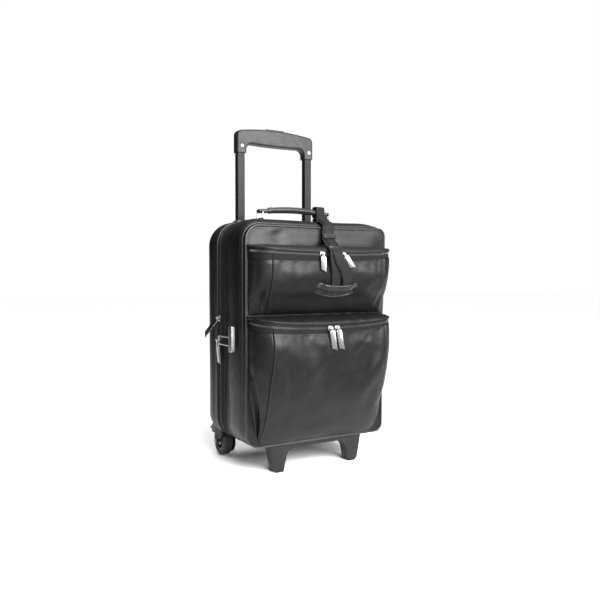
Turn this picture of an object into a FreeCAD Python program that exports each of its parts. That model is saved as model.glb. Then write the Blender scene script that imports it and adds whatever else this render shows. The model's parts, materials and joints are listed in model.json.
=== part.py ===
import FreeCAD, Part
import math
import os

# Rolling laptop case: a leather box in two halves (rear case and lid) that meet at a zipper,
# with two pockets on the lid, a telescoping trolley, two rear wheels and a front stand.
# Frame while modelling, in millimetres: X = 0 is the middle, Y = 0 the front panel, Z = 0 the floor.
# Every piece is moved by ORIGIN when it is saved, so the row's origin is the bottom centre.

V = FreeCAD.Vector
ORIGIN = V(12.0, -83.4, 0)

# --- driving dimensions: the case ---
BODY_HALF_W, BODY_BOTTOM, BODY_TOP, BODY_CORNER = 184.0, 57.0, 556.0, 55.0
FACE_HALF_W, FACE_BOTTOM, FACE_TOP, FACE_CORNER = 178.0, 62.0, 538.0, 30.0
CROWN_Y = 50.0              # depth at which the front crown reaches full size
STRIPE_FRONT_Y, SPLIT_Y, STRIPE_BACK_Y = 84.0, 127.0, 139.0
BACK_Y, BACK_ROUND = 226.0, 46.0
SPLIT_GAP = 0.4             # half the gap between the two halves
LEATHER = 3.0               # leather with its stiffener
TAPE_INSET, TAPE_THICK = 3.1, 2.0
TRAY_INSET, TRAY_THICK = 5.3, 2.6
PIPING_R = 2.4

# --- the trolley ---
TUBE_X, TUBE_Y = 94.0, 209.0
INNER_W, INNER_D, INNER_BOTTOM, INNER_TOP = 19.6, 17.4, 275.0, 762.0
OUTER_W, OUTER_D, OUTER_BOTTOM, OUTER_TOP = 24.0, 22.0, 88.0, 545.0
TUBE_WALL = 1.5
STOP_ZS = (102.5, 262.5, 462.5)      # lock holes: pushed in, as shown, fully out
BEZEL_HALF_W, BEZEL_BOTTOM, BEZEL_Y = 115.0, 505.0, 190.0
BOSS_TOP = 566.0
BRACKET_HALF_W, BRACKET_TOP = 114.0, 112.0
GRIP_BOTTOM, GRIP_CROWN = 730.0, 792.0
GRIP_FRONT, GRIP_BACK = 196.0, 222.0
RIVET_Z = 746.0
BUTTON_HALF_W, BUTTON_DEPTH, BUTTON_TOP = 26.0, 14.0, 794.5

# --- the wheels ---
WHEEL_X, WHEEL_Y, WHEEL_R, WHEEL_W = 143.0, 203.0, 35.0, 22.0
HOUSING_R, HOUSING_HALF_W, CHEEK = 44.0, 19.0, 3.5
HOUSING_BACK = 229.0        # behind the back panel; only a thin lip reaches further over the wheel

# --- the pockets: at each height, the bag's depth and half width ---
POCKET_HALF_W, POCKET_CORNER, POCKET_WALL = 174.0, 44.0, 2.5
FULL = POCKET_HALF_W
UPPER_BAG = ((347, 6, FULL), (365, 18, FULL), (400, 36, FULL), (440, 48, FULL), (462, 53, FULL))
UPPER_CAP = ((482, 53, FULL), (490, 45, FULL), (498, 8, FULL))
LOWER_BAG = ((66.5, 6, 139), (73, 9, 148), (80, 13, 153), (110, 24, 163), (180, 44, 172.5), (250, 56, FULL),
             (307, 62.7, FULL))
LOWER_CAP = ((326, 62.7, FULL), (338, 50, FULL), (345.5, 8, FULL))
ZIP_RECESS = 1.5            # how far a pocket's zipper tape lies behind its leather

# --- zipper hardware ---
SLIDER_LEN, SLIDER_W, SLIDER_H = 14.0, 10.0, 4.4
BAIL_R, BAIL_HALF, PIVOT_H = 1.1, 4.2, 7.6
PULL_W, PULL_T = 13.0, 1.8
POCKET_PULL_UPPER, POCKET_PULL_LOWER, MAIN_PULL = 39.0, 50.0, 56.0

# --- the strap patch on the upper pocket ---
PATCH_X, PATCH_Y, PATCH_Z, PATCH_LEAN = 22.0, -38.1, 404.0, 21.1
PATCH_HALF_W, PATCH_HALF_H = 60.0, 21.5

shapes = {}


# --- helpers ---
def box(x0, x1, y0, y1, z0, z1):
    return Part.makeBox(x1 - x0, y1 - y0, z1 - z0, V(x0, y0, z0))


def rod(start, end, radius):
    along = end - start
    return Part.makeCylinder(radius, along.Length, start, along)


def fuse(parts):
    whole = parts[0]
    for part in parts[1:]:
        whole = whole.fuse(part)
    return whole.removeSplitter()


def mirrored(shape):
    return shape.mirror(V(0, 0, 0), V(1, 0, 0))


def both_sides(shape):
    return [shape, mirrored(shape)]


def group(solids):
    return Part.makeCompound([s for shape in solids for s in shape.Solids])


def placed(shape, position, turns=()):
    """Turn about the origin by each (axis, degrees) in order, then move to position."""
    result = shape.copy()
    for axis, degrees in turns:
        result.rotate(V(0, 0, 0), axis, degrees)
    result.translate(position)
    return result


def rounded_rect(half_w, z0, z1, r, y):
    """Closed wire in the XZ plane at y, with its four corners rounded."""
    s = r * (1 - math.sqrt(0.5))
    line = lambda a, b: Part.LineSegment(V(a[0], y, a[1]), V(b[0], y, b[1])).toShape()
    arc = lambda a, m, b: Part.Arc(V(a[0], y, a[1]), V(m[0], y, m[1]), V(b[0], y, b[1])).toShape()
    w = half_w
    return Part.Wire([
        line((-w + r, z0), (w - r, z0)),
        arc((w - r, z0), (w - s, z0 + s), (w, z0 + r)),
        line((w, z0 + r), (w, z1 - r)),
        arc((w, z1 - r), (w - s, z1 - s), (w - r, z1)),
        line((w - r, z1), (-w + r, z1)),
        arc((-w + r, z1), (-w + s, z1 - s), (-w, z1 - r)),
        line((-w, z1 - r), (-w, z0 + r)),
        arc((-w, z0 + r), (-w + s, z0 + s), (-w + r, z0)),
    ])


def body_wire(inset, y):
    return rounded_rect(BODY_HALF_W - inset, BODY_BOTTOM + inset, BODY_TOP - inset, BODY_CORNER - inset, y)


def face_wire(inset, y):
    return rounded_rect(FACE_HALF_W - inset, FACE_BOTTOM + inset, FACE_TOP - inset, FACE_CORNER - inset, y)


def body_block(inset, y0, y1, back_round=0.0):
    block = Part.Face(body_wire(inset, y0)).extrude(V(0, y1 - y0, 0))
    if back_round:
        rim = [e for e in block.Edges if e.BoundBox.YMin > y1 - 0.01]
        block = block.makeFillet(back_round, rim)
    return block


def body_ring(inset, thick, y0, y1):
    return body_block(inset, y0, y1).cut(body_block(inset + thick, y0 - 1, y1 + 1))


def lid_block(inset, y0, y1):
    """The lid's crowned front with its straight sides behind it, all inset."""
    crown = Part.makeLoft([face_wire(inset, y0), body_wire(inset, CROWN_Y)], True, True)
    return crown.fuse(body_block(inset, CROWN_Y, y1))


def ring_tube(half_w, z0, z1, r, y, wire_r):
    """Round bar bent into a closed rounded rectangle in the XZ plane at y."""
    w = half_w
    parts = [
        rod(V(-w + r, y, z0), V(w - r, y, z0), wire_r),
        rod(V(-w + r, y, z1), V(w - r, y, z1), wire_r),
        rod(V(-w, y, z0 + r), V(-w, y, z1 - r), wire_r),
        rod(V(w, y, z0 + r), V(w, y, z1 - r), wire_r),
    ]
    for sx, sz, cz in ((-1, -1, z0 + r), (1, -1, z0 + r), (1, 1, z1 - r), (-1, 1, z1 - r)):
        centre = V(sx * (w - r), y, cz)
        section = Part.Face(Part.Wire(Part.makeCircle(wire_r, centre + V(sx * r, 0, 0), V(0, 0, 1))))
        parts.append(section.revolve(centre, V(0, -sx * sz, 0), 90))
    return fuse(parts)


def pocket_section(half_w, depth, z):
    """Closed D-shaped wire in the XY plane: flat back on the panel, rounded front corners."""
    side = 0.25 * depth
    rx, ry = POCKET_CORNER, depth - side
    k = 1 - math.sqrt(0.5)
    p = [V(-half_w, -0.2, z), V(-half_w, -side, z), V(-half_w + rx, -depth, z),
         V(half_w - rx, -depth, z), V(half_w, -side, z), V(half_w, -0.2, z)]
    left = Part.Arc(p[1], V(-half_w + k * rx, -depth + k * ry, z), p[2]).toShape()
    right = Part.Arc(p[3], V(half_w - k * rx, -depth + k * ry, z), p[4]).toShape()
    line = lambda a, b: Part.LineSegment(a, b).toShape()
    return Part.Wire([line(p[0], p[1]), left, line(p[2], p[3]), right, line(p[4], p[5]), line(p[5], p[0])])


def pocket_form(levels, inset):
    sections = [pocket_section(half_w - inset, depth - inset, z) for z, depth, half_w in levels]
    return Part.makeLoft(sections, True, True)


def pocket_shell(levels, closed_at_low_end):
    """Leather skin, open to the front panel behind it and to its zipper tape."""
    outer = pocket_form(levels, 0)
    inner = pocket_form(levels, POCKET_WALL)
    shift = POCKET_WALL if closed_at_low_end else -POCKET_WALL
    return outer.cut(inner.translated(V(0, 0, shift))).cut(inner.translated(V(0, 2, shift)))


def tube(width, depth, wall, z0, z1, x, y):
    outer = box(x - width / 2, x + width / 2, y - depth / 2, y + depth / 2, z0, z1)
    outer = outer.makeFillet(3.0, [e for e in outer.Edges if abs(e.BoundBox.ZLength - (z1 - z0)) < 0.1])
    w, d = width / 2 - wall, depth / 2 - wall
    return outer.cut(box(x - w, x + w, y - d, y + d, z0 - 1, z1 + 1))


# --- zipper slider and pull, with the bail's centre at the origin, outward along -Y, hanging to -Z ---
def make_slider(zip_upright, tilt):
    length, width = (SLIDER_W, SLIDER_LEN) if zip_upright else (SLIDER_LEN, SLIDER_W)
    top = PIVOT_H - SLIDER_H
    block = box(-length / 2, length / 2, top, PIVOT_H, -width / 2, width / 2)
    block = block.makeFillet(2.0, [e for e in block.Edges if e.BoundBox.YLength > 4.0])
    block = block.makeChamfer(1.0, [e for e in block.Edges if e.BoundBox.YMax < top + 0.01])
    bail = fuse([rod(V(-BAIL_HALF, 0, 0), V(BAIL_HALF, 0, 0), BAIL_R)]
                + [rod(V(s * BAIL_HALF, 0, 0), V(s * BAIL_HALF, top + 1.2, 0), BAIL_R) for s in (-1, 1)]
                + [Part.makeSphere(BAIL_R, V(s * BAIL_HALF, 0, 0)) for s in (-1, 1)])
    return fuse([block, placed(bail, V(0, 0, 0), ((V(0, 1, 0), -tilt),))])


def make_pull(length):
    half, eye_r, neck = PULL_W / 2, 2.9, 6.5
    slant = 7.0
    plate = Part.Face(Part.makePolygon([
        V(-2.8, -PULL_T / 2, -1.0), V(2.8, -PULL_T / 2, -1.0), V(2.8, -PULL_T / 2, -neck + 2),
        V(half, -PULL_T / 2, -neck), V(half, -PULL_T / 2, -length), V(-half, -PULL_T / 2, -length + slant),
        V(-half, -PULL_T / 2, -neck), V(-2.8, -PULL_T / 2, -neck + 2), V(-2.8, -PULL_T / 2, -1.0)]))
    plate = plate.extrude(V(0, PULL_T, 0))
    eye = rod(V(-2.8, 0, 0), V(2.8, 0, 0), eye_r)
    hole = rod(V(-4, 0, 0), V(4, 0, 0), BAIL_R + 0.3)
    return fuse([plate, eye]).cut(hole)


def add_front_slider(name, x, face_depth, z, tilt, length, lift=0.0):
    """A pocket zipper's slider and its pull; tilt swings the pull's end towards +X."""
    pivot = V(x, -face_depth - 0.1 - PIVOT_H, z)
    shapes[name.replace("pull", "slider")] = placed(make_slider(False, tilt), pivot)
    turns = ((V(1, 0, 0), -lift), (V(0, 1, 0), -tilt))
    shapes[name] = placed(make_pull(length), pivot, turns)


def add_side_slider(name, z, tilt, length, lift):
    """A main zipper's slider on the left side and its pull; tilt swings the end towards the front."""
    pivot = V(-(BODY_HALF_W - TAPE_INSET + 1.5 + PIVOT_H), SPLIT_Y, z)
    to_side = (V(0, 0, 1), -90)
    shapes[name.replace("pull", "slider")] = placed(make_slider(True, tilt), pivot, (to_side,))
    turns = ((V(1, 0, 0), -lift), (V(0, 1, 0), -tilt), to_side)
    shapes[name] = placed(make_pull(length), pivot, turns)
    return pivot


# --- rear case ---
def wheel_well(x, radius, half_w):
    return rod(V(x - half_w, WHEEL_Y, WHEEL_R), V(x + half_w, WHEEL_Y, WHEEL_R), radius)


wells = fuse(both_sides(wheel_well(WHEEL_X, HOUSING_R + 0.2, HOUSING_HALF_W + 0.2)))
rear_form = body_block(0, STRIPE_BACK_Y, BACK_Y, BACK_ROUND)
window_gap = 0.3
bezel_window = box(-BEZEL_HALF_W - window_gap, BEZEL_HALF_W + window_gap, BEZEL_Y - window_gap, 240,
                   BEZEL_BOTTOM - window_gap, 600)
bracket_window = box(-BRACKET_HALF_W - window_gap, BRACKET_HALF_W + window_gap, BEZEL_Y - window_gap, 240,
                     0, BRACKET_TOP + window_gap)


def cut_windows(shape):
    return shape.cut(bezel_window).cut(bracket_window).cut(wells)


rear_hollow = body_block(LEATHER, STRIPE_BACK_Y - 1, BACK_Y - LEATHER, BACK_ROUND - LEATHER)
shapes["rear_shell"] = cut_windows(rear_form.cut(rear_hollow))

tray_form = body_block(TRAY_INSET, SPLIT_Y + 4, BACK_Y - 3.2, BACK_ROUND - TRAY_INSET)
tray_hollow = body_block(TRAY_INSET + TRAY_THICK, SPLIT_Y + 3, BACK_Y - 3.2 - TRAY_THICK,
                         BACK_ROUND - TRAY_INSET - TRAY_THICK)
shapes["rear_frame_tray"] = cut_windows(tray_form.cut(tray_hollow))

BEAD_INSET, BEAD_W = 2.0, 3.2
rear_edge, front_edge = SPLIT_Y + SPLIT_GAP, SPLIT_Y - SPLIT_GAP
shapes["rear_zip_tape"] = fuse([
    body_ring(TAPE_INSET, TAPE_THICK, rear_edge, STRIPE_BACK_Y + 12),
    body_ring(BEAD_INSET, TAPE_INSET - BEAD_INSET + 0.5, rear_edge, rear_edge + BEAD_W)])
shapes["hinge_strip"] = box(-120, 120, rear_edge + 0.3, STRIPE_BACK_Y - 0.2,
                            BODY_BOTTOM + 0.2, BODY_BOTTOM + 1.8)


def screw_y(x, y_tip, y_head, z, shank_r, head_r, head_h):
    """Screw along Y with its head at the back."""
    return fuse([rod(V(x, y_tip, z), V(x, y_head + 0.5, z), shank_r),
                 rod(V(x, y_head, z), V(x, y_head + head_h, z), head_r)])


BEZEL_SCREW_Z, BRACKET_SCREW_Z = 522.0, 98.0
rear_screws = []
screw_holes = []
for screw_z, head_y in ((BEZEL_SCREW_Z, 221.0), (BRACKET_SCREW_Z, 222.5)):
    for side in (-1, 1):
        x = side * TUBE_X
        rear_screws.append(screw_y(x, 218.7, head_y, screw_z, 1.5, 3.0, 2.4))
        screw_holes.append(screw_y(x, 216.0, head_y - 0.1, screw_z, 1.65, 3.3, 12.0))
shapes["rear_screws"] = group(rear_screws)
screw_holes = group(screw_holes)

outer_tubes = []
for side in (-1, 1):
    x = side * TUBE_X
    sleeve = tube(OUTER_W, OUTER_D, TUBE_WALL, OUTER_BOTTOM, OUTER_TOP, x, TUBE_Y)
    for stop_z in STOP_ZS:
        sleeve = sleeve.cut(rod(V(x, TUBE_Y, stop_z), V(x + side * 20, TUBE_Y, stop_z), 3.3))
    outer_tubes.append(sleeve.cut(screw_holes))
shapes["trolley_outer_tubes"] = group(outer_tubes)


def tube_pocket(x, gap, z0, z1):
    w, d = OUTER_W / 2 + gap, OUTER_D / 2 + gap
    return box(x - w, x + w, TUBE_Y - d, TUBE_Y + d, z0, z1)


bezel = box(-BEZEL_HALF_W, BEZEL_HALF_W, BEZEL_Y, 240, BEZEL_BOTTOM, 600).common(rear_form)
bezel = bezel.cut(box(-78, 78, BEZEL_Y - 1, 216, BEZEL_BOTTOM - 1, 532))
bracket = box(-BRACKET_HALF_W, BRACKET_HALF_W, BEZEL_Y, 240, 0, BRACKET_TOP).common(rear_form)
bracket = bracket.cut(box(-78, 78, BEZEL_Y - 1, 216, 74, BRACKET_TOP + 1))
for side in (-1, 1):
    x = side * TUBE_X
    boss = box(x - 14, x + 14, TUBE_Y - 13, TUBE_Y + 13, 535, BOSS_TOP)
    boss = boss.makeFillet(4.0, [e for e in boss.Edges if e.BoundBox.ZLength > 20])
    bezel = fuse([bezel, boss.makeChamfer(1.5, [e for e in boss.Edges if e.BoundBox.ZMin > BOSS_TOP - 0.01])])
for side in (-1, 1):
    x = side * TUBE_X
    bezel = bezel.cut(tube_pocket(x, 0.1, BEZEL_BOTTOM - 1, OUTER_TOP + 0.1))
    bezel = bezel.cut(box(x - INNER_W / 2 - 0.2, x + INNER_W / 2 + 0.2, TUBE_Y - INNER_D / 2 - 0.2,
                          TUBE_Y + INNER_D / 2 + 0.2, OUTER_TOP - 1, BOSS_TOP + 1))
    bracket = bracket.cut(tube_pocket(x, 0.1, OUTER_BOTTOM - 0.1, BRACKET_TOP + 1))
shapes["trolley_bezel"] = bezel.cut(screw_holes)
shapes["trolley_foot_bracket"] = bracket.cut(screw_holes)

AXLE_R, BEARING_R, HUB_R = 4.0, 9.0, 24.0


def make_housing(x, side):
    """Arched wheel housing with a narrow strut outside the wheel and a round cheek inside it."""
    arch = wheel_well(x, HOUSING_R, HOUSING_HALF_W)
    arch = arch.cut(wheel_well(x, HOUSING_R - 5.5, HOUSING_HALF_W - CHEEK))
    arch = arch.cut(box(x - 60, x + 60, WHEEL_Y - 60, WHEEL_Y + 60, -20, 52))
    arch = arch.cut(box(x - 60, x + 60, HOUSING_BACK, WHEEL_Y + 60, 52, 90))
    outer_face, inner_face = x + side * (HOUSING_HALF_W - CHEEK / 2), x - side * (HOUSING_HALF_W - CHEEK / 2)
    strut = box(outer_face - CHEEK / 2, outer_face + CHEEK / 2, WHEEL_Y - 9, WHEEL_Y + 9, WHEEL_R, 56)
    strut_end = wheel_well(outer_face, 9.0, CHEEK / 2)
    cheek = box(inner_face - CHEEK / 2, inner_face + CHEEK / 2, WHEEL_Y - 30, WHEEL_Y + 30, WHEEL_R, 56)
    cheek_end = wheel_well(inner_face, 30.0, CHEEK / 2)
    lip = box(x - HOUSING_HALF_W, x + HOUSING_HALF_W, HOUSING_BACK - 6, WHEEL_Y + 35.5, 59, 64)
    lip = lip.cut(wheel_well(x, HOUSING_R - 7.5, HOUSING_HALF_W - CHEEK))
    return fuse([arch, strut, strut_end, cheek, cheek_end, lip]).cut(wheel_well(x, AXLE_R + 0.05, 30))


housings, axles = [], []
for side in (-1, 1):
    x = side * WHEEL_X
    housings.append(make_housing(x, side))
    axle = wheel_well(x, AXLE_R, HOUSING_HALF_W + 0.6)
    caps = [rod(V(x + s * (HOUSING_HALF_W + 0.1), WHEEL_Y, WHEEL_R),
                V(x + s * (HOUSING_HALF_W + 2.1), WHEEL_Y, WHEEL_R), 6.0) for s in (-1, 1)]
    axles.append(fuse([axle] + caps))
    hub = wheel_well(x, HUB_R, WHEEL_W / 2 - 1).cut(wheel_well(x, BEARING_R, 30))
    recess = wheel_well(x, 19.0, WHEEL_W / 2).cut(wheel_well(x, 12.0, 30))
    middle = wheel_well(x, 30.0, 3.0)
    hub = hub.cut(recess.cut(middle))
    for n in range(6):
        slot = rod(V(x - 20, WHEEL_Y, WHEEL_R + 15.5), V(x + 20, WHEEL_Y, WHEEL_R + 15.5), 2.6)
        slot.rotate(V(x, WHEEL_Y, WHEEL_R), V(1, 0, 0), 60 * n)
        hub = hub.cut(slot)
    tyre = wheel_well(x, WHEEL_R, WHEEL_W / 2)
    tyre = tyre.makeFillet(6.0, [e for e in tyre.Edges if e.BoundBox.ZLength > 60 and e.BoundBox.XLength < 1])
    tyre = tyre.cut(wheel_well(x, HUB_R, 30))
    bearing = wheel_well(x, BEARING_R, 3.5).cut(wheel_well(x, AXLE_R + 0.05, 30))
    name = "wheel_left" if side < 0 else "wheel_right"
    shapes[name + "_hub"] = hub
    shapes[name + "_tyre"] = tyre
    bearing_x = WHEEL_W / 2 - 4.5
    shapes[name + "_bearings"] = group([bearing.translated(V(s * bearing_x, 0, 0)) for s in (-1, 1)])
shapes["wheel_housings"] = group(housings)
shapes["wheel_axles"] = group(axles)

# --- lid ---
STAND_SCREWS = [(x, 20.0) for x in (-66, -28, 28, 66)]


def stand_screw(x, y, gap):
    return fuse([rod(V(x, y, 52.5), V(x, y, 68.0 + gap), 1.5 + gap),
                 rod(V(x, y, 51.4 - 3 * gap), V(x, y, 53.6 + gap), 3.2 + gap)])


stand_holes = group([stand_screw(x, y, 0.15) for x, y in STAND_SCREWS])
piping_front = ring_tube(FACE_HALF_W - 0.6, FACE_BOTTOM + 0.6, FACE_TOP - 0.6, FACE_CORNER - 0.6,
                         0.0, PIPING_R)
PIPING_BACK_Y = 13.0
crown_share = PIPING_BACK_Y / CROWN_Y


def between(face_value, body_value):
    return face_value + crown_share * (body_value - face_value)


back_size = (between(FACE_HALF_W, BODY_HALF_W) - 0.6, between(FACE_BOTTOM, BODY_BOTTOM) + 0.6,
             between(FACE_TOP, BODY_TOP) - 0.6, between(FACE_CORNER, BODY_CORNER) - 0.6)
piping_back = ring_tube(*back_size, PIPING_BACK_Y, PIPING_R * 0.8)
shapes["edge_piping"] = group([piping_front, piping_back])
piping_room = group([
    ring_tube(FACE_HALF_W - 0.6, FACE_BOTTOM + 0.6, FACE_TOP - 0.6, FACE_CORNER - 0.6, 0.0, PIPING_R + 0.1),
    ring_tube(*back_size, PIPING_BACK_Y, PIPING_R * 0.8 + 0.1)])

lid_form = lid_block(0, 0, STRIPE_FRONT_Y)
lid_hollow = lid_block(LEATHER, LEATHER, STRIPE_FRONT_Y + 1)
shapes["front_shell"] = lid_form.cut(lid_hollow).cut(piping_room).cut(stand_holes)
shapes["front_frame_board"] = Part.Face(face_wire(4.0, 3.3)).extrude(V(0, 2.6, 0))
shapes["front_zip_tape"] = fuse([
    body_ring(TAPE_INSET, TAPE_THICK, STRIPE_FRONT_Y - 4, front_edge),
    body_ring(BEAD_INSET, TAPE_INSET - BEAD_INSET + 0.5, front_edge - BEAD_W, front_edge)])
shapes["laptop_sleeve"] = box(-150, 150, 6.2, 40, 75, 330).cut(box(-141, 141, 9, 34, 85, 400))


def make_stand():
    """Two tapered feet joined by a bar that hugs the underside of the lid."""
    p = [V(-121, 3, 66), V(-109.5, 3, 7), V(-104, 3, 0), V(-86, 3, 0), V(-80, 3, 26), V(-56, 3, 51)]
    q = [V(-a.x, a.y, a.z) for a in p]
    line = lambda a, b: Part.LineSegment(a, b).toShape()
    arc = lambda a, m, b: Part.Arc(a, m, b).toShape()
    outline = Part.Wire([
        line(p[0], p[1]), line(p[1], p[2]), line(p[2], p[3]), line(p[3], p[4]),
        arc(p[4], V(-72, 3, 43.5), p[5]), line(p[5], q[5]), arc(q[5], V(72, 3, 43.5), q[4]),
        line(q[4], q[3]), line(q[3], q[2]), line(q[2], q[1]), line(q[1], q[0]), line(q[0], p[0])])
    stand = Part.Face(outline).extrude(V(0, 25, 0))
    grown = lid_block(-0.15, -1.0, STRIPE_FRONT_Y)
    stand = stand.cut(grown).cut(piping_room)
    bulk = max(stand.Solids, key=lambda solid: solid.Volume)
    back_corner = box(-130, 130, 20, 40, -8, 0.01)
    back_corner.rotate(V(0, 23, 0), V(1, 0, 0), 45)
    return bulk.cut(back_corner).cut(stand_holes)


shapes["front_stand"] = make_stand()
shapes["stand_screws"] = group([stand_screw(x, y, 0) for x, y in STAND_SCREWS])

# --- pockets ---
shapes["upper_pocket"] = group([pocket_shell(UPPER_BAG, True), pocket_shell(UPPER_CAP, False)])
shapes["lower_pocket"] = group([pocket_shell(LOWER_BAG, True), pocket_shell(LOWER_CAP, False)])


def zip_band(bag, cap):
    low, high, depth = bag[-1][0] + 0.1, cap[0][0] - 0.1, bag[-1][1]
    outer = pocket_form(((low, depth, FULL), (high, depth, FULL)), ZIP_RECESS)
    inner = pocket_form(((low - 1, depth, FULL), (high + 1, depth, FULL)), ZIP_RECESS + 2)
    return outer.cut(inner).cut(inner.translated(V(0, 2, 0)))


shapes["pocket_zip_tapes"] = group([zip_band(UPPER_BAG, UPPER_CAP), zip_band(LOWER_BAG, LOWER_CAP)])
UPPER_ZIP_DEPTH = UPPER_BAG[-1][1] - ZIP_RECESS
LOWER_ZIP_DEPTH = LOWER_BAG[-1][1] - ZIP_RECESS
add_front_slider("upper_pull_left", -22, UPPER_ZIP_DEPTH, 477, 1, POCKET_PULL_UPPER)
add_front_slider("upper_pull_right", 32, UPPER_ZIP_DEPTH, 477, 38, POCKET_PULL_UPPER)
add_front_slider("lower_pull_left", -7, LOWER_ZIP_DEPTH, 318, 10, POCKET_PULL_LOWER)
add_front_slider("lower_pull_right", 10, LOWER_ZIP_DEPTH, 318, 12, POCKET_PULL_LOWER)

# --- main zipper's sliders and the padlock ---
add_side_slider("main_pull_upper", 334, -40, MAIN_PULL, 18)
lock_pivot = add_side_slider("main_pull_lower", 285, 14, MAIN_PULL, 0)
LUG = V(lock_pivot.x - 3.0, SPLIT_Y - 13.0, 288.0)
LUG_HOLE_R, LUG_R, LUG_T = 3.5, 6.5, 2.2
lug_plate = fuse([rod(LUG - V(0, 0, LUG_T / 2), LUG + V(0, 0, LUG_T / 2), LUG_R),
                  box(LUG.x, LUG.x + 8.6, LUG.y, LUG.y + 8, LUG.z - LUG_T / 2, LUG.z + LUG_T / 2)])
lug_hole = rod(LUG - V(0, 0, 5), LUG + V(0, 0, 5), LUG_HOLE_R)
shapes["main_slider_lower"] = fuse([shapes["main_slider_lower"], lug_plate]).cut(lug_hole)

SHACKLE_R, SHACKLE_HALF, SHACKLE_END_Y = 1.8, 9.0, 37.0
bend_y = LUG.y - SHACKLE_HALF
bend_start = V(LUG.x, bend_y, LUG.z - SHACKLE_HALF)
bend_section = Part.Face(Part.Wire(Part.makeCircle(SHACKLE_R, bend_start, V(0, 1, 0))))
bend = bend_section.revolve(V(LUG.x, bend_y, LUG.z), V(1, 0, 0), 180)
legs = [rod(V(LUG.x, SHACKLE_END_Y, LUG.z + s * SHACKLE_HALF),
            V(LUG.x, bend_y, LUG.z + s * SHACKLE_HALF), SHACKLE_R)
        for s in (-1, 1)]
shapes["padlock_shackle"] = fuse([bend] + legs)
LOCK_FRONT, LOCK_BACK, LOCK_LOW, LOCK_HIGH = 30.0, 46.0, 266.0, 322.0
lock_body = box(LUG.x - 6, LUG.x + 5, LOCK_FRONT, LOCK_BACK, LOCK_LOW, LOCK_HIGH)
lock_body = lock_body.makeFillet(3.0, lock_body.Edges)
for s in (-1, 1):
    z = LUG.z + s * SHACKLE_HALF
    lock_body = lock_body.cut(rod(V(LUG.x, SHACKLE_END_Y - 3, z), V(LUG.x, 60, z), SHACKLE_R + 0.15))
shapes["padlock_body"] = lock_body

# --- strap patch with its keeper ---
lean = (V(1, 0, 0), PATCH_LEAN)
patch_at = V(PATCH_X, PATCH_Y, PATCH_Z)
ellipse = Part.Ellipse(V(PATCH_HALF_W, 0, 0), V(0, 0, PATCH_HALF_H), V(0, 0, 0)).toShape()
patch = Part.Face(Part.Wire(ellipse))
patch = patch.extrude(V(0, 2, 0)) if patch.normalAt(0, 0).y < 2 else patch
patch.translate(V(0, -2 - patch.BoundBox.YMin, 0))
KEEPER_LOW, KEEPER_HIGH = -0.5, 15.5
RIVET_XS, RIVET_UP = (-47.0, 48.0), 7.5
keeper_outline = [(-53, 2.05), (-53, 4.5), (-41, 4.5), (-32, 15.5), (34, 15.5), (44, 4.5), (54, 4.5),
                  (54, 2.05),
                  (42, 2.05), (32.5, 13), (-30.5, 13), (-39, 2.05), (-53, 2.05)]
keeper = Part.Face(Part.makePolygon([V(x, -out, KEEPER_LOW) for x, out in keeper_outline]))
keeper = keeper.extrude(V(0, 0, KEEPER_HIGH - KEEPER_LOW))
rivets, rivet_holes = [], []
for x in RIVET_XS:
    rivets.append(fuse([rod(V(x, -4.8, RIVET_UP), V(x, -0.1, RIVET_UP), 1.5),
                        rod(V(x, -6.2, RIVET_UP), V(x, -4.6, RIVET_UP), 3.4)]))
    rivet_holes.append(rod(V(x, -10, RIVET_UP), V(x, 2, RIVET_UP), 1.6))
rivet_holes = group(rivet_holes)
shapes["strap_patch"] = placed(patch.cut(rivet_holes), patch_at, (lean,))
shapes["patch_keeper"] = placed(keeper.cut(rivet_holes), patch_at, (lean,))
shapes["patch_rivets"] = placed(group(rivets), patch_at, (lean,))

# --- carry handle, its rings and anchors ---
HANDLE_Y, RING_X, RING_HALF, RING_LOW, RING_HIGH, RING_R = 108.0, 90.0, 14.0, 560.0, 580.0, 1.5
HANDLE_R, HANDLE_CORE_R, HANDLE_END_X, HANDLE_END_Z, HANDLE_RISE = 7.0, 3.5, 72.0, 582.0, 4.5
ring = placed(ring_tube(RING_HALF, RING_LOW, RING_HIGH, 4.0, 0.0, RING_R), V(-RING_X, HANDLE_Y, 0),
              ((V(0, 0, 1), 90),))
shapes["ring_left"] = ring
shapes["ring_right"] = mirrored(ring)
tape_top = BODY_TOP - TAPE_INSET
anchor = fuse([
    box(-RING_X - 15, -RING_X + 15, HANDLE_Y - 18, HANDLE_Y + 13, tape_top + 0.1, tape_top + 3.5),
    box(-RING_X - 4.5, -RING_X + 4.5, HANDLE_Y - 10, HANDLE_Y + 10, tape_top + 1, RING_LOW),
    rod(V(-RING_X, HANDLE_Y - 10, RING_LOW), V(-RING_X, HANDLE_Y + 10, RING_LOW), 4.5)])
anchor = anchor.cut(rod(V(-RING_X, HANDLE_Y - 25, RING_LOW), V(-RING_X, HANDLE_Y + 25, RING_LOW),
                        RING_R + 0.3))
ring_room = ring_tube(RING_HALF, RING_LOW, RING_HIGH, 4.0, 0.0, RING_R + 0.4)
for degrees in (-26, -13, 0, 13, 26):
    swept = placed(ring_room, V(-RING_X, HANDLE_Y, 0), ((V(0, 0, 1), 90),))
    swept.rotate(V(-RING_X, HANDLE_Y, RING_LOW), V(0, 1, 0), degrees)
    anchor = anchor.cut(swept)
shapes["handle_anchors"] = group(both_sides(anchor))

arc_r = (HANDLE_END_X ** 2 + HANDLE_RISE ** 2) / (2 * HANDLE_RISE)
arc_centre = V(0, HANDLE_Y, HANDLE_END_Z + HANDLE_RISE - arc_r)
arc_half = math.degrees(math.asin(HANDLE_END_X / arc_r))


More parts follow.
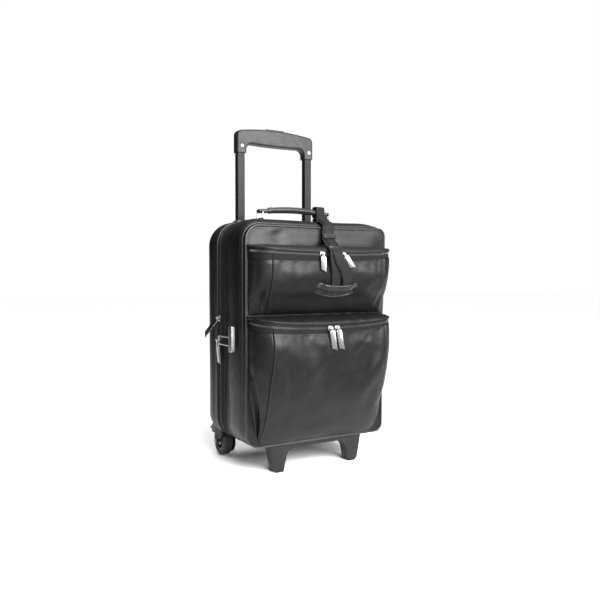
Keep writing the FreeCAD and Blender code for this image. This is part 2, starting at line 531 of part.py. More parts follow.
def handle_bar(radius):
    start = V(0, HANDLE_Y, HANDLE_END_Z + HANDLE_RISE)
    section = Part.Face(Part.Wire(Part.makeCircle(radius, start, V(1, 0, 0))))
    section.rotate(arc_centre, V(0, 1, 0), -arc_half)
    return section.revolve(arc_centre, V(0, 1, 0), 2 * arc_half)


def handle_tab(x_sign):
    inner, outer = x_sign * (HANDLE_END_X - 6), x_sign * RING_X
    lo, hi = min(inner, outer), max(inner, outer)
    tab = fuse([box(lo, hi, HANDLE_Y - 8.5, HANDLE_Y + 8.5, RING_HIGH - 3.5, RING_HIGH + 5.5),
                rod(V(outer, HANDLE_Y - 8.5, RING_HIGH), V(outer, HANDLE_Y + 8.5, RING_HIGH), 5.5)])
    return tab.cut(rod(V(outer, HANDLE_Y - 20, RING_HIGH), V(outer, HANDLE_Y + 20, RING_HIGH), RING_R + 0.3))


core = handle_bar(HANDLE_CORE_R)
shapes["carry_handle_core"] = core
leather = fuse([handle_bar(HANDLE_R), handle_tab(-1), handle_tab(1)])
shapes["carry_handle_leather"] = leather.cut(handle_bar(HANDLE_CORE_R + 0.05))

# --- strap from the carry handle to the keeper, with its buckles ---
STRAP_W, STRAP_T = 24.0, 1.6
STRAP_ROUTE = [V(68, 95, 566), V(48, 60, 571), V(34, 30, 559), V(26, -6, 546), V(22, -12, 526),
               V(20, -20, 511), V(12, -47, 498),
               V(8, -68, 482), V(16, -69, 462), V(30, -64, 445), V(42, -55.5, 423), V(44, -50, 407)]


def strap_section(point, before, after):
    along = after - before
    normal = V(0, -along.z, along.y)
    normal.normalize()
    w, n = V(STRAP_W / 2, 0, 0), normal * (STRAP_T / 2)
    return Part.makePolygon([point - w - n, point + w - n, point + w + n, point - w + n, point - w - n])


def strap_tail():
    sections = []
    last = len(STRAP_ROUTE) - 1
    for i, point in enumerate(STRAP_ROUTE):
        sections.append(strap_section(point, STRAP_ROUTE[max(i - 1, 0)], STRAP_ROUTE[min(i + 1, last)]))
    return Part.makeLoft(sections, True, True)


LOOP_X0, LOOP_X1, LOOP_HALF, LOOP_LOW, LOOP_HIGH = 56.0, 79.0, 11.1, 570.0, 598.0
loop = box(LOOP_X0, LOOP_X1, HANDLE_Y - LOOP_HALF, HANDLE_Y + LOOP_HALF, LOOP_LOW, LOOP_HIGH)
loop = loop.makeFillet(5.0, [e for e in loop.Edges if e.BoundBox.XLength > 20])
loop_inside = box(LOOP_X0 - 1, LOOP_X1 + 1, HANDLE_Y - LOOP_HALF + STRAP_T, HANDLE_Y + LOOP_HALF - STRAP_T,
                  LOOP_LOW + STRAP_T, LOOP_HIGH - STRAP_T)
loop_inside = loop_inside.makeFillet(3.4, [e for e in loop_inside.Edges if e.BoundBox.XLength > 20])
shapes["strap_webbing"] = group([loop.cut(loop_inside), strap_tail()])


def strap_clip(point, lean_degrees, half_w, height, thick):
    """Rectangular two-slot slider that the strap runs through, around the strap at point."""
    clip = box(-half_w, half_w, -thick / 2, thick / 2, -height / 2, height / 2)
    clip = clip.makeFillet(1.2, [e for e in clip.Edges if e.BoundBox.YLength > thick - 0.1])
    room = box(-STRAP_W / 2 - 2.0, STRAP_W / 2 + 2.0, -1.6, 1.6, -height, height)
    return placed(clip.cut(room), point, ((V(1, 0, 0), lean_degrees),))


handle_buckle = fuse([box(LOOP_X0, LOOP_X1, HANDLE_Y - 10, HANDLE_Y + 8, 560.5, 569.8),
                      rod(V(LOOP_X1 - 1, HANDLE_Y, 567.5), V(LOOP_X1 + 14, HANDLE_Y, 567.5), 1.6),
                      Part.makeSphere(2.6, V(LOOP_X1 + 15.5, HANDLE_Y, 567.5))])
shapes["strap_buckles"] = group([
    handle_buckle,
    strap_clip(V(21, -16, 518.5), -28, 16.0, 10.0, 5.4),
    strap_clip(V(10, -57.5, 490), -52.7, 16.0, 9.0, 5.4)])

# --- trolley ---
GRIP_HALF_W, GRIP_INNER_HALF_W = 106.0, 81.0
GRIP_CORNER, GRIP_INNER_CORNER = 13.0, 15.0
ARCH_R, UNDER_R, UNDER_Z = 620.0, 1500.0, 751.0


def grip_outline(y):
    """Closed wire of the grip seen from the front: two collars joined by a bowed bar, all arcs tangent."""
    w, r, iw, ir = GRIP_HALF_W, GRIP_CORNER, GRIP_INNER_HALF_W, GRIP_INNER_CORNER
    arch_z, under_z = GRIP_CROWN - ARCH_R, UNDER_Z + UNDER_R
    corner_z = arch_z + math.sqrt((ARCH_R - r) ** 2 - (w - r) ** 2)
    inner_z = under_z - math.sqrt((UNDER_R + ir) ** 2 - (iw - ir) ** 2)
    out_dir = V(w - r, 0, corner_z - arch_z).normalize()
    in_dir = V(-(iw - ir), 0, under_z - inner_z).normalize()

    def point(x, z):
        return V(x, y, z)

    def on_corner(cx, cz, radius, direction):
        return V(cx + radius * direction.x, y, cz + radius * direction.z)

    out_mid = (out_dir + V(1, 0, 0)).normalize()
    in_mid = (in_dir + V(1, 0, 0)).normalize()
    out_end = on_corner(w - r, corner_z, r, out_dir)
    in_end = on_corner(iw - ir, inner_z, ir, in_dir)
    right = [
        Part.LineSegment(point(iw, GRIP_BOTTOM), point(w, GRIP_BOTTOM)),
        Part.LineSegment(point(w, GRIP_BOTTOM), point(w, corner_z)),
        Part.Arc(point(w, corner_z), on_corner(w - r, corner_z, r, out_mid), out_end),
        Part.LineSegment(point(iw, GRIP_BOTTOM), point(iw, inner_z)),
        Part.Arc(point(iw, inner_z), on_corner(iw - ir, inner_z, ir, in_mid), in_end),
    ]
    edges = [curve.toShape() for curve in right]
    edges += [mirrored(edge) for edge in edges]
    edges.append(Part.Arc(out_end, point(0, GRIP_CROWN), V(-out_end.x, y, out_end.z)).toShape())
    edges.append(Part.Arc(in_end, point(0, UNDER_Z), V(-in_end.x, y, in_end.z)).toShape())
    return Part.Wire(Part.__sortEdges__(edges))


YOKE_LOW, YOKE_HIGH = 768.0, 771.5
hollow_parts = [
    box(-99, 99, 204.0, 214.0, 762.2, 772.5),
    box(-BUTTON_HALF_W - 0.3, BUTTON_HALF_W + 0.3, TUBE_Y - 7.3, TUBE_Y + 7.3, 772.0, 800.0),
    rod(V(0, TUBE_Y, 756.0), V(0, TUBE_Y, 764.0), 4.6)]
tube_room_w, tube_room_d = INNER_W / 2 + 0.1, INNER_D / 2 + 0.1
tube_hollows = [box(s * TUBE_X - tube_room_w, s * TUBE_X + tube_room_w,
                    TUBE_Y - tube_room_d, TUBE_Y + tube_room_d,
                    GRIP_BOTTOM - 1, INNER_TOP + 0.3) for s in (-1, 1)]
rivet_parts, rivet_room = [], []
for side in (-1, 1):
    for out_y, in_y in ((GRIP_FRONT, 202.0), (GRIP_BACK, 216.0)):
        outward = 1 if out_y > TUBE_Y else -1
        x = side * TUBE_X
        inside, face = V(x, in_y, RIVET_Z), V(x, out_y, RIVET_Z)
        out = V(0, outward, 0)
        head = rod(face - out * 0.6, face + out * 0.8, 3.6)
        rivet_parts.append(fuse([rod(inside, face, 2.0), head]))
        head_room = rod(face - out * 0.7, face + out * 9, 3.8)
        rivet_room.append(fuse([rod(inside - out * 2, face, 2.1), head_room]))
rivet_room = group(rivet_room)
grip_hollow = fuse(hollow_parts + tube_hollows)
grip = Part.Face(grip_outline(GRIP_FRONT)).extrude(V(0, GRIP_BACK - GRIP_FRONT, 0))
grip_rim = [e for e in grip.Edges if e.BoundBox.YLength < 0.01 and e.BoundBox.ZMax > GRIP_BOTTOM + 0.1]
grip = grip.makeFillet(5.0, grip_rim)
grip = grip.cut(grip_hollow).cut(rivet_room)
shapes["grip_front_shell"] = grip.cut(box(-150, 150, TUBE_Y, 260, 700, 850))
shapes["grip_rear_shell"] = grip.cut(box(-150, 150, 150, TUBE_Y, 700, 850))
shapes["grip_rivets"] = group(rivet_parts)
inner_tubes = [tube(INNER_W, INNER_D, TUBE_WALL, INNER_BOTTOM, INNER_TOP, s * TUBE_X, TUBE_Y)
               for s in (-1, 1)]
shapes["trolley_inner_tubes"] = group([t.cut(rivet_room) for t in inner_tubes])

PLUG_BOTTOM, PLUNGER_R, PUSH_ROD_R = 250.0, 2.9, 2.0
PLUNGER_REACH = OUTER_W / 2 - TUBE_WALL - 0.15      # just clear of the outer tube's wall
plugs = []
for side in (-1, 1):
    x = side * TUBE_X
    plug = box(x - 10.3, x + 10.3, TUBE_Y - 9.3, TUBE_Y + 9.3, PLUG_BOTTOM, INNER_BOTTOM - 0.05)
    spigot = box(x - 7.4, x + 7.4, TUBE_Y - 6.4, TUBE_Y + 6.4, INNER_BOTTOM - 1, INNER_BOTTOM + 15)
    plug = fuse([plug, spigot])
    bore = rod(V(x - side * 3.2, TUBE_Y, STOP_ZS[1]), V(x + side * 12, TUBE_Y, STOP_ZS[1]), PLUNGER_R + 0.05)
    plug = plug.cut(bore)
    plugs.append(plug.cut(rod(V(x, TUBE_Y, 264.5), V(x, TUBE_Y, 300), PUSH_ROD_R + 0.2)))
    plunger = rod(V(x, TUBE_Y, STOP_ZS[1]), V(x + side * PLUNGER_REACH, TUBE_Y, STOP_ZS[1]), PLUNGER_R)
    tip = [e for e in plunger.Edges
           if e.BoundBox.XLength < 0.01 and abs(e.BoundBox.XMin - x) > PLUNGER_REACH - 0.7]
    shapes["lock_plunger_left" if side < 0 else "lock_plunger_right"] = plunger.makeChamfer(0.8, tip)
shapes["tube_end_plugs"] = group(plugs)

button = box(-BUTTON_HALF_W, BUTTON_HALF_W, TUBE_Y - BUTTON_DEPTH / 2, TUBE_Y + BUTTON_DEPTH / 2,
             778.0, BUTTON_TOP)
button = button.makeFillet(2.5, [e for e in button.Edges if e.BoundBox.ZMin > BUTTON_TOP - 0.01])
shapes["release_button"] = fuse([button, box(-8, 8, TUBE_Y - 4, TUBE_Y + 4, YOKE_HIGH, 779.0)])
shapes["push_rods"] = fuse(
    [box(-96.5, 96.5, TUBE_Y - 3, TUBE_Y + 3, YOKE_LOW, YOKE_HIGH)]
    + [rod(V(s * TUBE_X, TUBE_Y, 270.8), V(s * TUBE_X, TUBE_Y, YOKE_LOW + 1), PUSH_ROD_R) for s in (-1, 1)])
spring_low, spring_high = 756.1, YOKE_LOW - 0.1
shapes["button_spring"] = rod(V(0, TUBE_Y, spring_low), V(0, TUBE_Y, spring_high), 4.0).cut(
    rod(V(0, TUBE_Y, spring_low - 1), V(0, TUBE_Y, spring_high + 1), 3.0))

# --- save every sub-part ---
os.makedirs("parts", exist_ok=True)
total = FreeCAD.BoundBox()
for name, shape in sorted(shapes.items()):
    moved = shape.translated(ORIGIN)
    total.add(moved.BoundBox)
    if not moved.isValid() or not moved.Solids:
        print("INVALID", name)
    moved.exportStep("parts/" + name + ".step")
print(len(shapes), "sub-parts, box", [round(v, 2) for v in (
    total.XMin, total.XMax, total.YMin, total.YMax, total.ZMin, total.ZMax)])
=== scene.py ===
import json
import math
import bmesh
import bpy
import numpy as np
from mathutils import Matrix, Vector


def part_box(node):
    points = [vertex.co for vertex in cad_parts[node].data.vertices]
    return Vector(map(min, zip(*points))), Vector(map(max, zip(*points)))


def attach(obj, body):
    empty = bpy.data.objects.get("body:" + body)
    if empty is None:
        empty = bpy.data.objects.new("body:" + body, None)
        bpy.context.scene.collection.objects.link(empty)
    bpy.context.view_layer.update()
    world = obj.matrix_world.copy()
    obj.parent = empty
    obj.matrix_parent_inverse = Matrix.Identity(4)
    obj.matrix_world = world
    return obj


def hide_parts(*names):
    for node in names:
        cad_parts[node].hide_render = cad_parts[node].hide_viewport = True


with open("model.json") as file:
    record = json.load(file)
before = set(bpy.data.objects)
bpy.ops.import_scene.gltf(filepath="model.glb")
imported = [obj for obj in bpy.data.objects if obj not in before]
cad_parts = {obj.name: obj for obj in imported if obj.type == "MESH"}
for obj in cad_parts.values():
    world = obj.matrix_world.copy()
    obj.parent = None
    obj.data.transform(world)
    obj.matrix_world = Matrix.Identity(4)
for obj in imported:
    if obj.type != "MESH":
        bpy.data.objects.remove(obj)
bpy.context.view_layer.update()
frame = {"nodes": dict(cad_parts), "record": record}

# Rolling laptop case. Shapes are worked out in millimetres with X = 0 the middle, Y = 0 the front
# panel and Z = 0 the floor, and put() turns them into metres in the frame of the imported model.
MM = 0.001
rear_low, rear_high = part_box("rear_shell")
ORIGIN = np.array([(rear_low.x + rear_high.x) / 2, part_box("front_shell")[0].y, 0.0])
NODES = frame["nodes"]
BODY_OF = {n: b for b, names in frame["record"]["behaviour"]["bodies"].items() for n in names}

# --- the case, as in the CAD source ---
# corner radii run top left, top right, bottom left, bottom right
BODY = dict(w=184.0, z0=57.0, z1=556.0, r=(55.0, 48.0, 50.0, 38.0))
FACE = dict(w=178.0, z0=62.0, z1=538.0, r=(33.0, 18.0, 34.0, 18.0))
CROWN_Y, BACK_Y, BACK_ROUND = 50.0, 226.0, 46.0
LEATHER = 3.0
WHEEL_X, WHEEL_Y, WHEEL_Z = 143.0, 203.0, 35.0
ROWS_CORNER, ROWS_SIDE, COLS = 14, 54, 48      # grid lines of the panels: near a corner, between, across
CORNER_SPAN = 60.0


# --- helpers: numbers ---
def smoothstep(x, a, b):
    t = np.clip((np.asarray(x, float) - a) / (b - a), 0, 1)
    return t * t * (3 - 2 * t)


def bell(x, centre, width):
    return np.exp(-((np.asarray(x, float) - centre) / width) ** 2)


def smooth_curve(xs, ys, x):
    """Monotone cubic through the points (xs, ys)."""
    xs, ys = np.asarray(xs, float), np.asarray(ys, float)
    h = np.diff(xs)
    d = np.diff(ys) / h
    m = np.zeros(len(xs))
    both = d[:-1] * d[1:]
    safe = np.where(both > 0, d[:-1] + d[1:], 1.0)
    m[1:-1] = np.where(both > 0, 2 * both / safe, 0.0)
    m[0], m[-1] = d[0], d[-1]
    i = np.clip(np.searchsorted(xs, x, side="right") - 1, 0, len(h) - 1)
    t = (x - xs[i]) / h[i]
    return ((1 + 2 * t) * (1 - t) ** 2 * ys[i] + t * (1 - t) ** 2 * h[i] * m[i]
            + t * t * (3 - 2 * t) * ys[i + 1] + t * t * (t - 1) * h[i] * m[i + 1])


def resample(grid, t, axis):
    """Catmull-Rom samples of a grid at the fractional places t along one axis."""
    grid = np.moveaxis(grid, axis, 0)
    n = len(grid)
    i = np.clip(np.floor(t).astype(int), 0, n - 2)
    f = (t - i).reshape((-1,) + (1,) * (grid.ndim - 1))
    a, b, c, d = (grid[np.clip(i + k, 0, n - 1)] for k in (-1, 0, 1, 2))
    out = 0.5 * (2 * b + (c - a) * f + (2 * a - 5 * b + 4 * c - d) * f ** 2
                 + (3 * b - a - 3 * c + d) * f ** 3)
    return np.moveaxis(out, 0, axis)


def unit(v):
    return v / np.maximum(np.linalg.norm(v, axis=-1, keepdims=True), 1e-9)


def waves(p, scale, seed):
    """Soft three-dimensional undulation from -1 to 1."""
    rng = np.random.default_rng(seed)
    total = np.zeros(p.shape[:-1])
    for _ in range(7):
        k = rng.normal(size=3)
        k *= rng.uniform(0.6, 1.5) / np.linalg.norm(k)
        total += np.sin(p @ k * 2 * math.pi / scale + rng.uniform(0, 6.28))
    return total / 4.0


def ridge(x, z, a, b, width, height):
    """Soft fold along the segment a-b in the XZ plane, fading towards its ends."""
    ax, az = a
    dx, dz = b[0] - ax, b[1] - az
    length = math.hypot(dx, dz)
    s = ((x - ax) * dx + (z - az) * dz) / length ** 2
    across = ((x - ax) * dz - (z - az) * dx) / length
    beyond = np.clip(np.abs(s - 0.5) - 0.32, 0, None)
    return height * np.exp(-(across / width) ** 2) * np.exp(-beyond ** 2 * 22)


def full_turn(steps):
    return np.linspace(0, 2 * math.pi, steps, endpoint=False)


def squarer(value, power):
    """Bends a sine or cosine towards +-1, which turns a circle into a rounded rectangle."""
    return np.sign(value) * np.abs(value) ** power


# --- helpers: meshes ---
def fuller(p):
    """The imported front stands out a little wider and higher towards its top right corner."""
    x, y, z = p.T
    share = 1 - smoothstep(y, 16, 80)
    wider = 6.5 * smoothstep(z, 290, 500) * smoothstep(x, 60, 172) * share
    higher = 3.5 * smoothstep(x, 80, 172) * smoothstep(z, 490, 536) * share
    return np.stack([x + wider, y, z + higher], -1)


def add_object(name, data):
    obj = bpy.data.objects.new(name, data)
    bpy.context.scene.collection.objects.link(obj)
    return obj


def plain_mesh(name, verts, faces):
    mesh = bpy.data.meshes.new(name)
    mesh.from_pydata(verts, [], faces)
    return mesh


def face_outwards(mesh):
    bm = bmesh.new()
    bm.from_mesh(mesh)
    bmesh.ops.recalc_face_normals(bm, faces=bm.faces)
    bm.to_mesh(mesh)
    bm.free()


def put(name, verts, faces, body, slot, mat, replaces=(), smooth=True, uv=None, sharp=None):
    """A closed piece from points in millimetres, riding on a body."""
    verts = np.asarray(verts, float).reshape(-1, 3)
    verts = (fuller(verts) if body == "lid" else verts) * MM + ORIGIN
    mesh = plain_mesh(name, verts.tolist(), [tuple(int(i) for i in f) for f in faces])
    if uv is not None:
        layer = mesh.uv_layers.new(name="UVMap")
        index = np.zeros(len(mesh.loops), int)
        mesh.loops.foreach_get("vertex_index", index)
        layer.data.foreach_set("uv", np.asarray(uv, np.float32).reshape(-1, 2)[index].ravel())
    face_outwards(mesh)
    mesh.polygons.foreach_set("use_smooth", [smooth] * len(mesh.polygons))
    if sharp:
        mesh.set_sharp_from_angle(angle=math.radians(sharp))
    obj = add_object(name, mesh)
    mesh.materials.append(mat)
    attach(obj, body)
    if replaces:
        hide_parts(*replaces)
    return obj


def grid_faces(rows, cols, start=0, closed=False):
    r, c = np.meshgrid(np.arange(rows - 1), np.arange(cols if closed else cols - 1), indexing="ij")
    n = (c + 1) % cols
    quads = np.stack([r * cols + c, r * cols + n, (r + 1) * cols + n, (r + 1) * cols + c], -1)
    return (quads.reshape(-1, 4) + start).tolist()


def bar_faces(rows, sides):
    """Faces of a closed bar made of rings of points, with its two ends."""
    last = (rows - 1) * sides
    ends = [tuple(range(sides))[::-1], tuple(range(last, last + sides))]
    return grid_faces(rows, sides, closed=True) + ends


def strip_faces(before, after):
    """Faces between two closed rings of point indices."""
    return [(a, b, d, c) for a, b, c, d in zip(before, np.roll(before, -1), after, np.roll(after, -1))]


def loop_faces(rows, sides):
    """Faces of a row of rings whose last ring joins the first."""
    ring = np.arange(sides)
    return grid_faces(rows, sides, closed=True) + strip_faces((rows - 1) * sides + ring, ring)


def ring_of(grid):
    """Closed ring of a grid's edge points."""
    return np.concatenate([grid[0, :-1], grid[:-1, -1], grid[-1, :0:-1], grid[:0:-1, 0]])


def grid_normals(g):
    du = np.gradient(g, axis=1)
    dv = np.gradient(g, axis=0)
    return unit(np.cross(du, dv))


def thick_sheet(outer, thickness):
    """Closed solid from an open grid of points whose normals face outwards."""
    rows, cols = outer.shape[:2]
    inner = outer - grid_normals(outer) * thickness
    inner[..., 1] = np.minimum(inner[..., 1], -0.15)
    n = rows * cols
    faces = grid_faces(rows, cols) + [f[::-1] for f in grid_faces(rows, cols, n)]
    rim = ring_of(np.arange(n).reshape(rows, cols))[::-1]
    faces += strip_faces(rim, rim + n)
    return np.concatenate([outer.reshape(-1, 3), inner.reshape(-1, 3)]), faces


def tube_along(path, radius, sides, closed=False, up=(0, 0, 1)):
    """Round bar along a path."""
    path = np.asarray(path, float)
    tangent = unit(np.roll(path, -1, 0) - np.roll(path, 1, 0)) if closed else unit(np.gradient(path, axis=0))
    side = unit(np.cross(tangent, np.asarray(up, float)))
    top = np.cross(side, tangent)
    angle = (np.arange(sides) * 2 * math.pi / sides)[None, :, None]
    ring = path[:, None] + radius * (np.cos(angle) * side[:, None] + np.sin(angle) * top[:, None])
    return ring.reshape(-1, 3), (loop_faces if closed else bar_faces)(len(path), sides)


def merge(parts):
    verts, faces, n = [], [], 0
    for v, f in parts:
        v = np.asarray(v, float).reshape(-1, 3)
        verts.append(v)
        faces += [tuple(i + n for i in face) for face in f]
        n += len(v)
    return np.concatenate(verts), faces


def length_along(path):
    return np.concatenate([[0], np.cumsum(np.linalg.norm(np.diff(path, axis=0), axis=1))])


def along(path, step, start=0.0):
    """Fractional indices of even steps along a path."""
    distance = length_along(path)
    return np.interp(np.arange(start, distance[-1], step), distance, np.arange(len(path)))


def pick(values, t):
    values = np.asarray(values, float)
    i = np.clip(np.floor(t).astype(int), 0, len(values) - 2)
    f = (t - i)[:, None]
    return values[i] * (1 - f) + values[i + 1] * f


def stations(path, fields, step, start=0.0, closed=False, skip=None):
    """Yields a point, its direction and the unit value of each field at even steps along a path."""
    arrays = [np.asarray(a, float) for a in (path, *fields)]
    if closed:
        arrays = [np.concatenate([a, a[:1]]) for a in arrays]
    t = along(arrays[0], step, start)
    arrays.insert(1, unit(np.gradient(arrays[0], axis=0)))
    for point, *units in zip(pick(arrays[0], t), *(unit(pick(a, t)) for a in arrays[1:])):
        if skip is None or not skip(point):
            yield point, *units


THREAD_RADIUS = 0.36
# section of one thread: place along it as a share of its length, and its radius as a share
THREAD_RINGS = ((-0.5, 0.25), (-0.34, 0.9), (0.0, 1.0), (0.34, 0.9), (0.5, 0.25))


def stitches(path, normals, closed=False, length=3.0, pitch=4.4, skip=None):
    """Row of short sewn threads lying in the leather along a path."""
    parts = []
    for p, d, n in stations(path, [normals], pitch, closed=closed, skip=skip):
        side = np.cross(n, d)
        rings = []
        for s, r in THREAD_RINGS:
            lift = 0.18 - 0.75 * (2 * s) ** 4
            for a in np.arange(6) * math.pi / 3:
                rings.append(p + d * s * length + n * (lift + r * math.sin(a)) * THREAD_RADIUS
                             + side * r * THREAD_RADIUS * math.cos(a))
        parts.append((rings, bar_faces(len(THREAD_RINGS), 6)))
    return merge(parts)


def teeth(path, normals, across, pitch, size, shift=0.0, closed=False, skip=None):
    """Row of zipper teeth; size is length along, width across and height."""
    a, w, h = size
    parts = []
    for p, d, n, c in stations(path, [normals, across], pitch, shift, closed, skip):
        verts = []
        for z, shrink in ((0.0, 1.0), (0.65 * h, 1.0), (h, 0.55)):
            for x, y in ((-1, -1), (1, -1), (1, 1), (-1, 1)):
                verts.append(p + n * z + d * x * a / 2 * shrink + c * y * w / 2 * (0.5 + 0.5 * shrink))
        parts.append((verts, bar_faces(3, 4)))
    return merge(parts)


# --- helpers: materials ---
def add_node(mat, kind, **values):
    """New shader node with some inputs set; an input's name has _ for each space."""
    node = mat.node_tree.nodes.new(kind)
    for name, value in values.items():
        node.inputs[name.replace("_", " ")].default_value = value
    return node


def material(name, colour, rough, metallic=0.0, spec=0.5, grain=None, wrinkle=None, streak=None, weave=None,
             vary=0.25, rough_vary=0.06, coat=0.0, sheen=0.0):
    """Procedural finish, with bump depths and sizes in metres. grain and wrinkle are (size, depth); streak is
    (axis, size, depth) for a finish drawn out along one axis; weave is (thread, depth, axes) with "XY" for
    a plain weave from the piece's own UV map, in metres, or one axis of the object for ribs."""
    mat = bpy.data.materials.new(name)
    mat.use_nodes = True
    links = mat.node_tree.links
    shader = mat.node_tree.nodes["Principled BSDF"]
    for label, value in (("Metallic", metallic), ("Specular IOR Level", spec), ("Coat Weight", coat),
                         ("Coat Roughness", 0.3), ("Sheen Weight", sheen)):
        shader.inputs[label].default_value = value
    place = add_node(mat, "ShaderNodeTexCoord").outputs["Object"]

    def noise(size, detail, stretch=None, distortion=0.0):
        tex = add_node(mat, "ShaderNodeTexNoise", Scale=1.0 / size, Detail=detail, Distortion=distortion)
        source = place
        if stretch:
            mapping = add_node(mat, "ShaderNodeMapping", Scale=stretch)
            links.new(place, mapping.inputs["Vector"])
            source = mapping.outputs["Vector"]
        links.new(source, tex.inputs["Vector"])
        return tex.outputs["Fac"]

    ramp = add_node(mat, "ShaderNodeValToRGB")
    for end, position, share in zip(ramp.color_ramp.elements, (0.3, 0.7), (1 - vary, 1 + vary)):
        end.position = position
        end.color = [c * share for c in colour] + [1]
    links.new(noise(0.045, 5.0), ramp.inputs["Fac"])
    links.new(ramp.outputs["Color"], shader.inputs["Base Color"])
    gloss = add_node(mat, "ShaderNodeMapRange", From_Min=0.3, From_Max=0.7,
                     To_Min=rough - rough_vary, To_Max=rough + rough_vary)
    links.new(noise(0.02, 3.0), gloss.inputs["Value"])
    links.new(gloss.outputs["Result"], shader.inputs["Roughness"])
    normal = None

    def bump(height, depth):
        nonlocal normal
        node = add_node(mat, "ShaderNodeBump", Strength=1.0, Distance=depth)
        links.new(height, node.inputs["Height"])
        if normal is not None:
            links.new(normal, node.inputs["Normal"])
        normal = node.outputs["Normal"]

    if wrinkle:
        bump(noise(wrinkle[0], 3.0, distortion=0.4), wrinkle[1])
    if grain:
        cells = add_node(mat, "ShaderNodeTexVoronoi", Scale=1.0 / grain[0])
        cells.feature = "SMOOTH_F1"
        links.new(place, cells.inputs["Vector"])
        bump(cells.outputs["Distance"], grain[1])
    if streak:
        axis, size, depth = streak
        stretch = [1.0, 1.0, 1.0]
        stretch[axis] = 0.03
        bump(noise(size, 2.0, stretch=stretch), depth)
    if weave:
        thread, depth, axes = weave
        coords = add_node(mat, "ShaderNodeTexCoord").outputs["UV"] if axes == "XY" else place
        ribs = []
        for axis in axes:
            wave = add_node(mat, "ShaderNodeTexWave", Scale=1.0 / thread / 3.2, Distortion=0.6, Detail=1.0)
            wave.wave_type, wave.bands_direction = "BANDS", axis
            links.new(coords, wave.inputs["Vector"])
            ribs.append(wave.outputs["Fac"])
        height = ribs[0]
        if axes == "XY":
            both = add_node(mat, "ShaderNodeMath")
            both.operation = "MULTIPLY"
            for value, socket in zip(ribs, both.inputs):
                links.new(value, socket)
            height = both.outputs["Value"]
        bump(height, depth)
    if normal is not None:
        links.new(normal, shader.inputs["Normal"])
    return mat


LEATHER_MAT = material("black_leather", (0.005, 0.005, 0.0052), 0.40, spec=0.24, grain=(0.0011, 0.00006),
                       wrinkle=(0.018, 0.0004))
POCKET_MAT = material("pocket_leather", (0.005, 0.005, 0.0052), 0.44, spec=0.22, grain=(0.0011, 0.00006),
                      wrinkle=(0.024, 0.0005))
PIPING_MAT = material("piping_leather", (0.012, 0.012, 0.0123), 0.34, spec=0.4, grain=(0.0009, 0.00004))
GLOSS_MAT = material("polished_leather", (0.012, 0.012, 0.0123), 0.26, spec=0.35, grain=(0.0009, 0.00003),
                     coat=0.1)
THREAD_MAT = material("sewing_thread", (0.012, 0.012, 0.0123), 0.55, spec=0.35, grain=(0.0004, 0.00005))
TAPE_MAT = material("zipper_tape", (0.005, 0.005, 0.0052), 0.75, spec=0.2, vary=0.3,
                    weave=(0.0011, 0.00025, "Y"))
# Darker than zipper_tape: partly the tape's own black, partly painted shade of its recess between the leather
# edges
BAND_SHADED_MAT = material("pocket_zipper_tape", (0.003, 0.003, 0.0031), 0.7, spec=0.2, vary=0.3,
                    weave=(0.0011, 0.0002, "Z"))
COIL_MAT = material("zipper_coil", (0.03, 0.03, 0.031), 0.34, spec=0.5)
WEB_MAT = material("webbing", (0.006, 0.006, 0.0063), 0.6, spec=0.2, vary=0.3, weave=(0.0013, 0.0003, "XY"))
LINING_MAT = material("grey_lining", (0.10, 0.10, 0.104), 0.85, grain=(0.0008, 0.0002), sheen=0.3)
BOARD_MAT = material("grey_board", (0.07, 0.07, 0.073), 0.8, grain=(0.0012, 0.0002), sheen=0.2)
PLASTIC_MAT = material("black_moulded", (0.010, 0.010, 0.0103), 0.45, spec=0.2, grain=(0.0006, 0.00005))
GRIP_MAT = material("grip_moulded", (0.014, 0.014, 0.0143), 0.42, spec=0.28, grain=(0.0005, 0.00005))
PAD_MAT = material("grip_pad", (0.022, 0.022, 0.0225), 0.6, spec=0.35, grain=(0.0004, 0.00006))
HUB_MAT = material("hub_moulded", (0.010, 0.010, 0.0103), 0.42, spec=0.5, grain=(0.0007, 0.00003))
TYRE_MAT = material("tyre_rubber", (0.016, 0.016, 0.016), 0.62, spec=0.35, grain=(0.0008, 0.00008))
TUBE_MAT = material("anodised_tube", (0.010, 0.010, 0.0103), 0.33, spec=0.12, streak=(2, 0.0012, 0.00003))
BOSS_MAT = material("tube_collar", (0.03, 0.03, 0.031), 0.5, spec=0.45, grain=(0.0006, 0.00005))
DARK_METAL = material("black_enamel", (0.018, 0.018, 0.019), 0.28, spec=0.6)
STEEL_MAT = material("plain_steel", (0.5, 0.5, 0.51), 0.32, metallic=1.0, streak=(0, 0.0008, 0.00003),
                     vary=0.1)
CHROME_MAT = material("polished_metal", (0.30, 0.30, 0.31), 0.16, metallic=1.0, vary=0.05, rough_vary=0.04)
PULL_MAT = material("zipper_pull_metal", (0.46, 0.46, 0.46), 0.3, metallic=1.0, vary=0.05,
                    streak=(0, 0.0006, 0.00004))
SIDE_PULL_MAT = material("side_pull_metal", (0.5, 0.5, 0.505), 0.3, metallic=1.0, vary=0.1,
                         streak=(1, 0.0006, 0.00004))
SLIDER_MAT = material("slider_metal", (0.45, 0.45, 0.455), 0.25, metallic=1.0, vary=0.08)
RIVET_MAT = material("rivet_metal", (0.24, 0.24, 0.245), 0.22, metallic=1.0, vary=0.1)
LOCK_MAT = material("lock_metal", (0.34, 0.34, 0.345), 0.34, metallic=1.0, streak=(2, 0.0007, 0.00004),
                    vary=0.12)


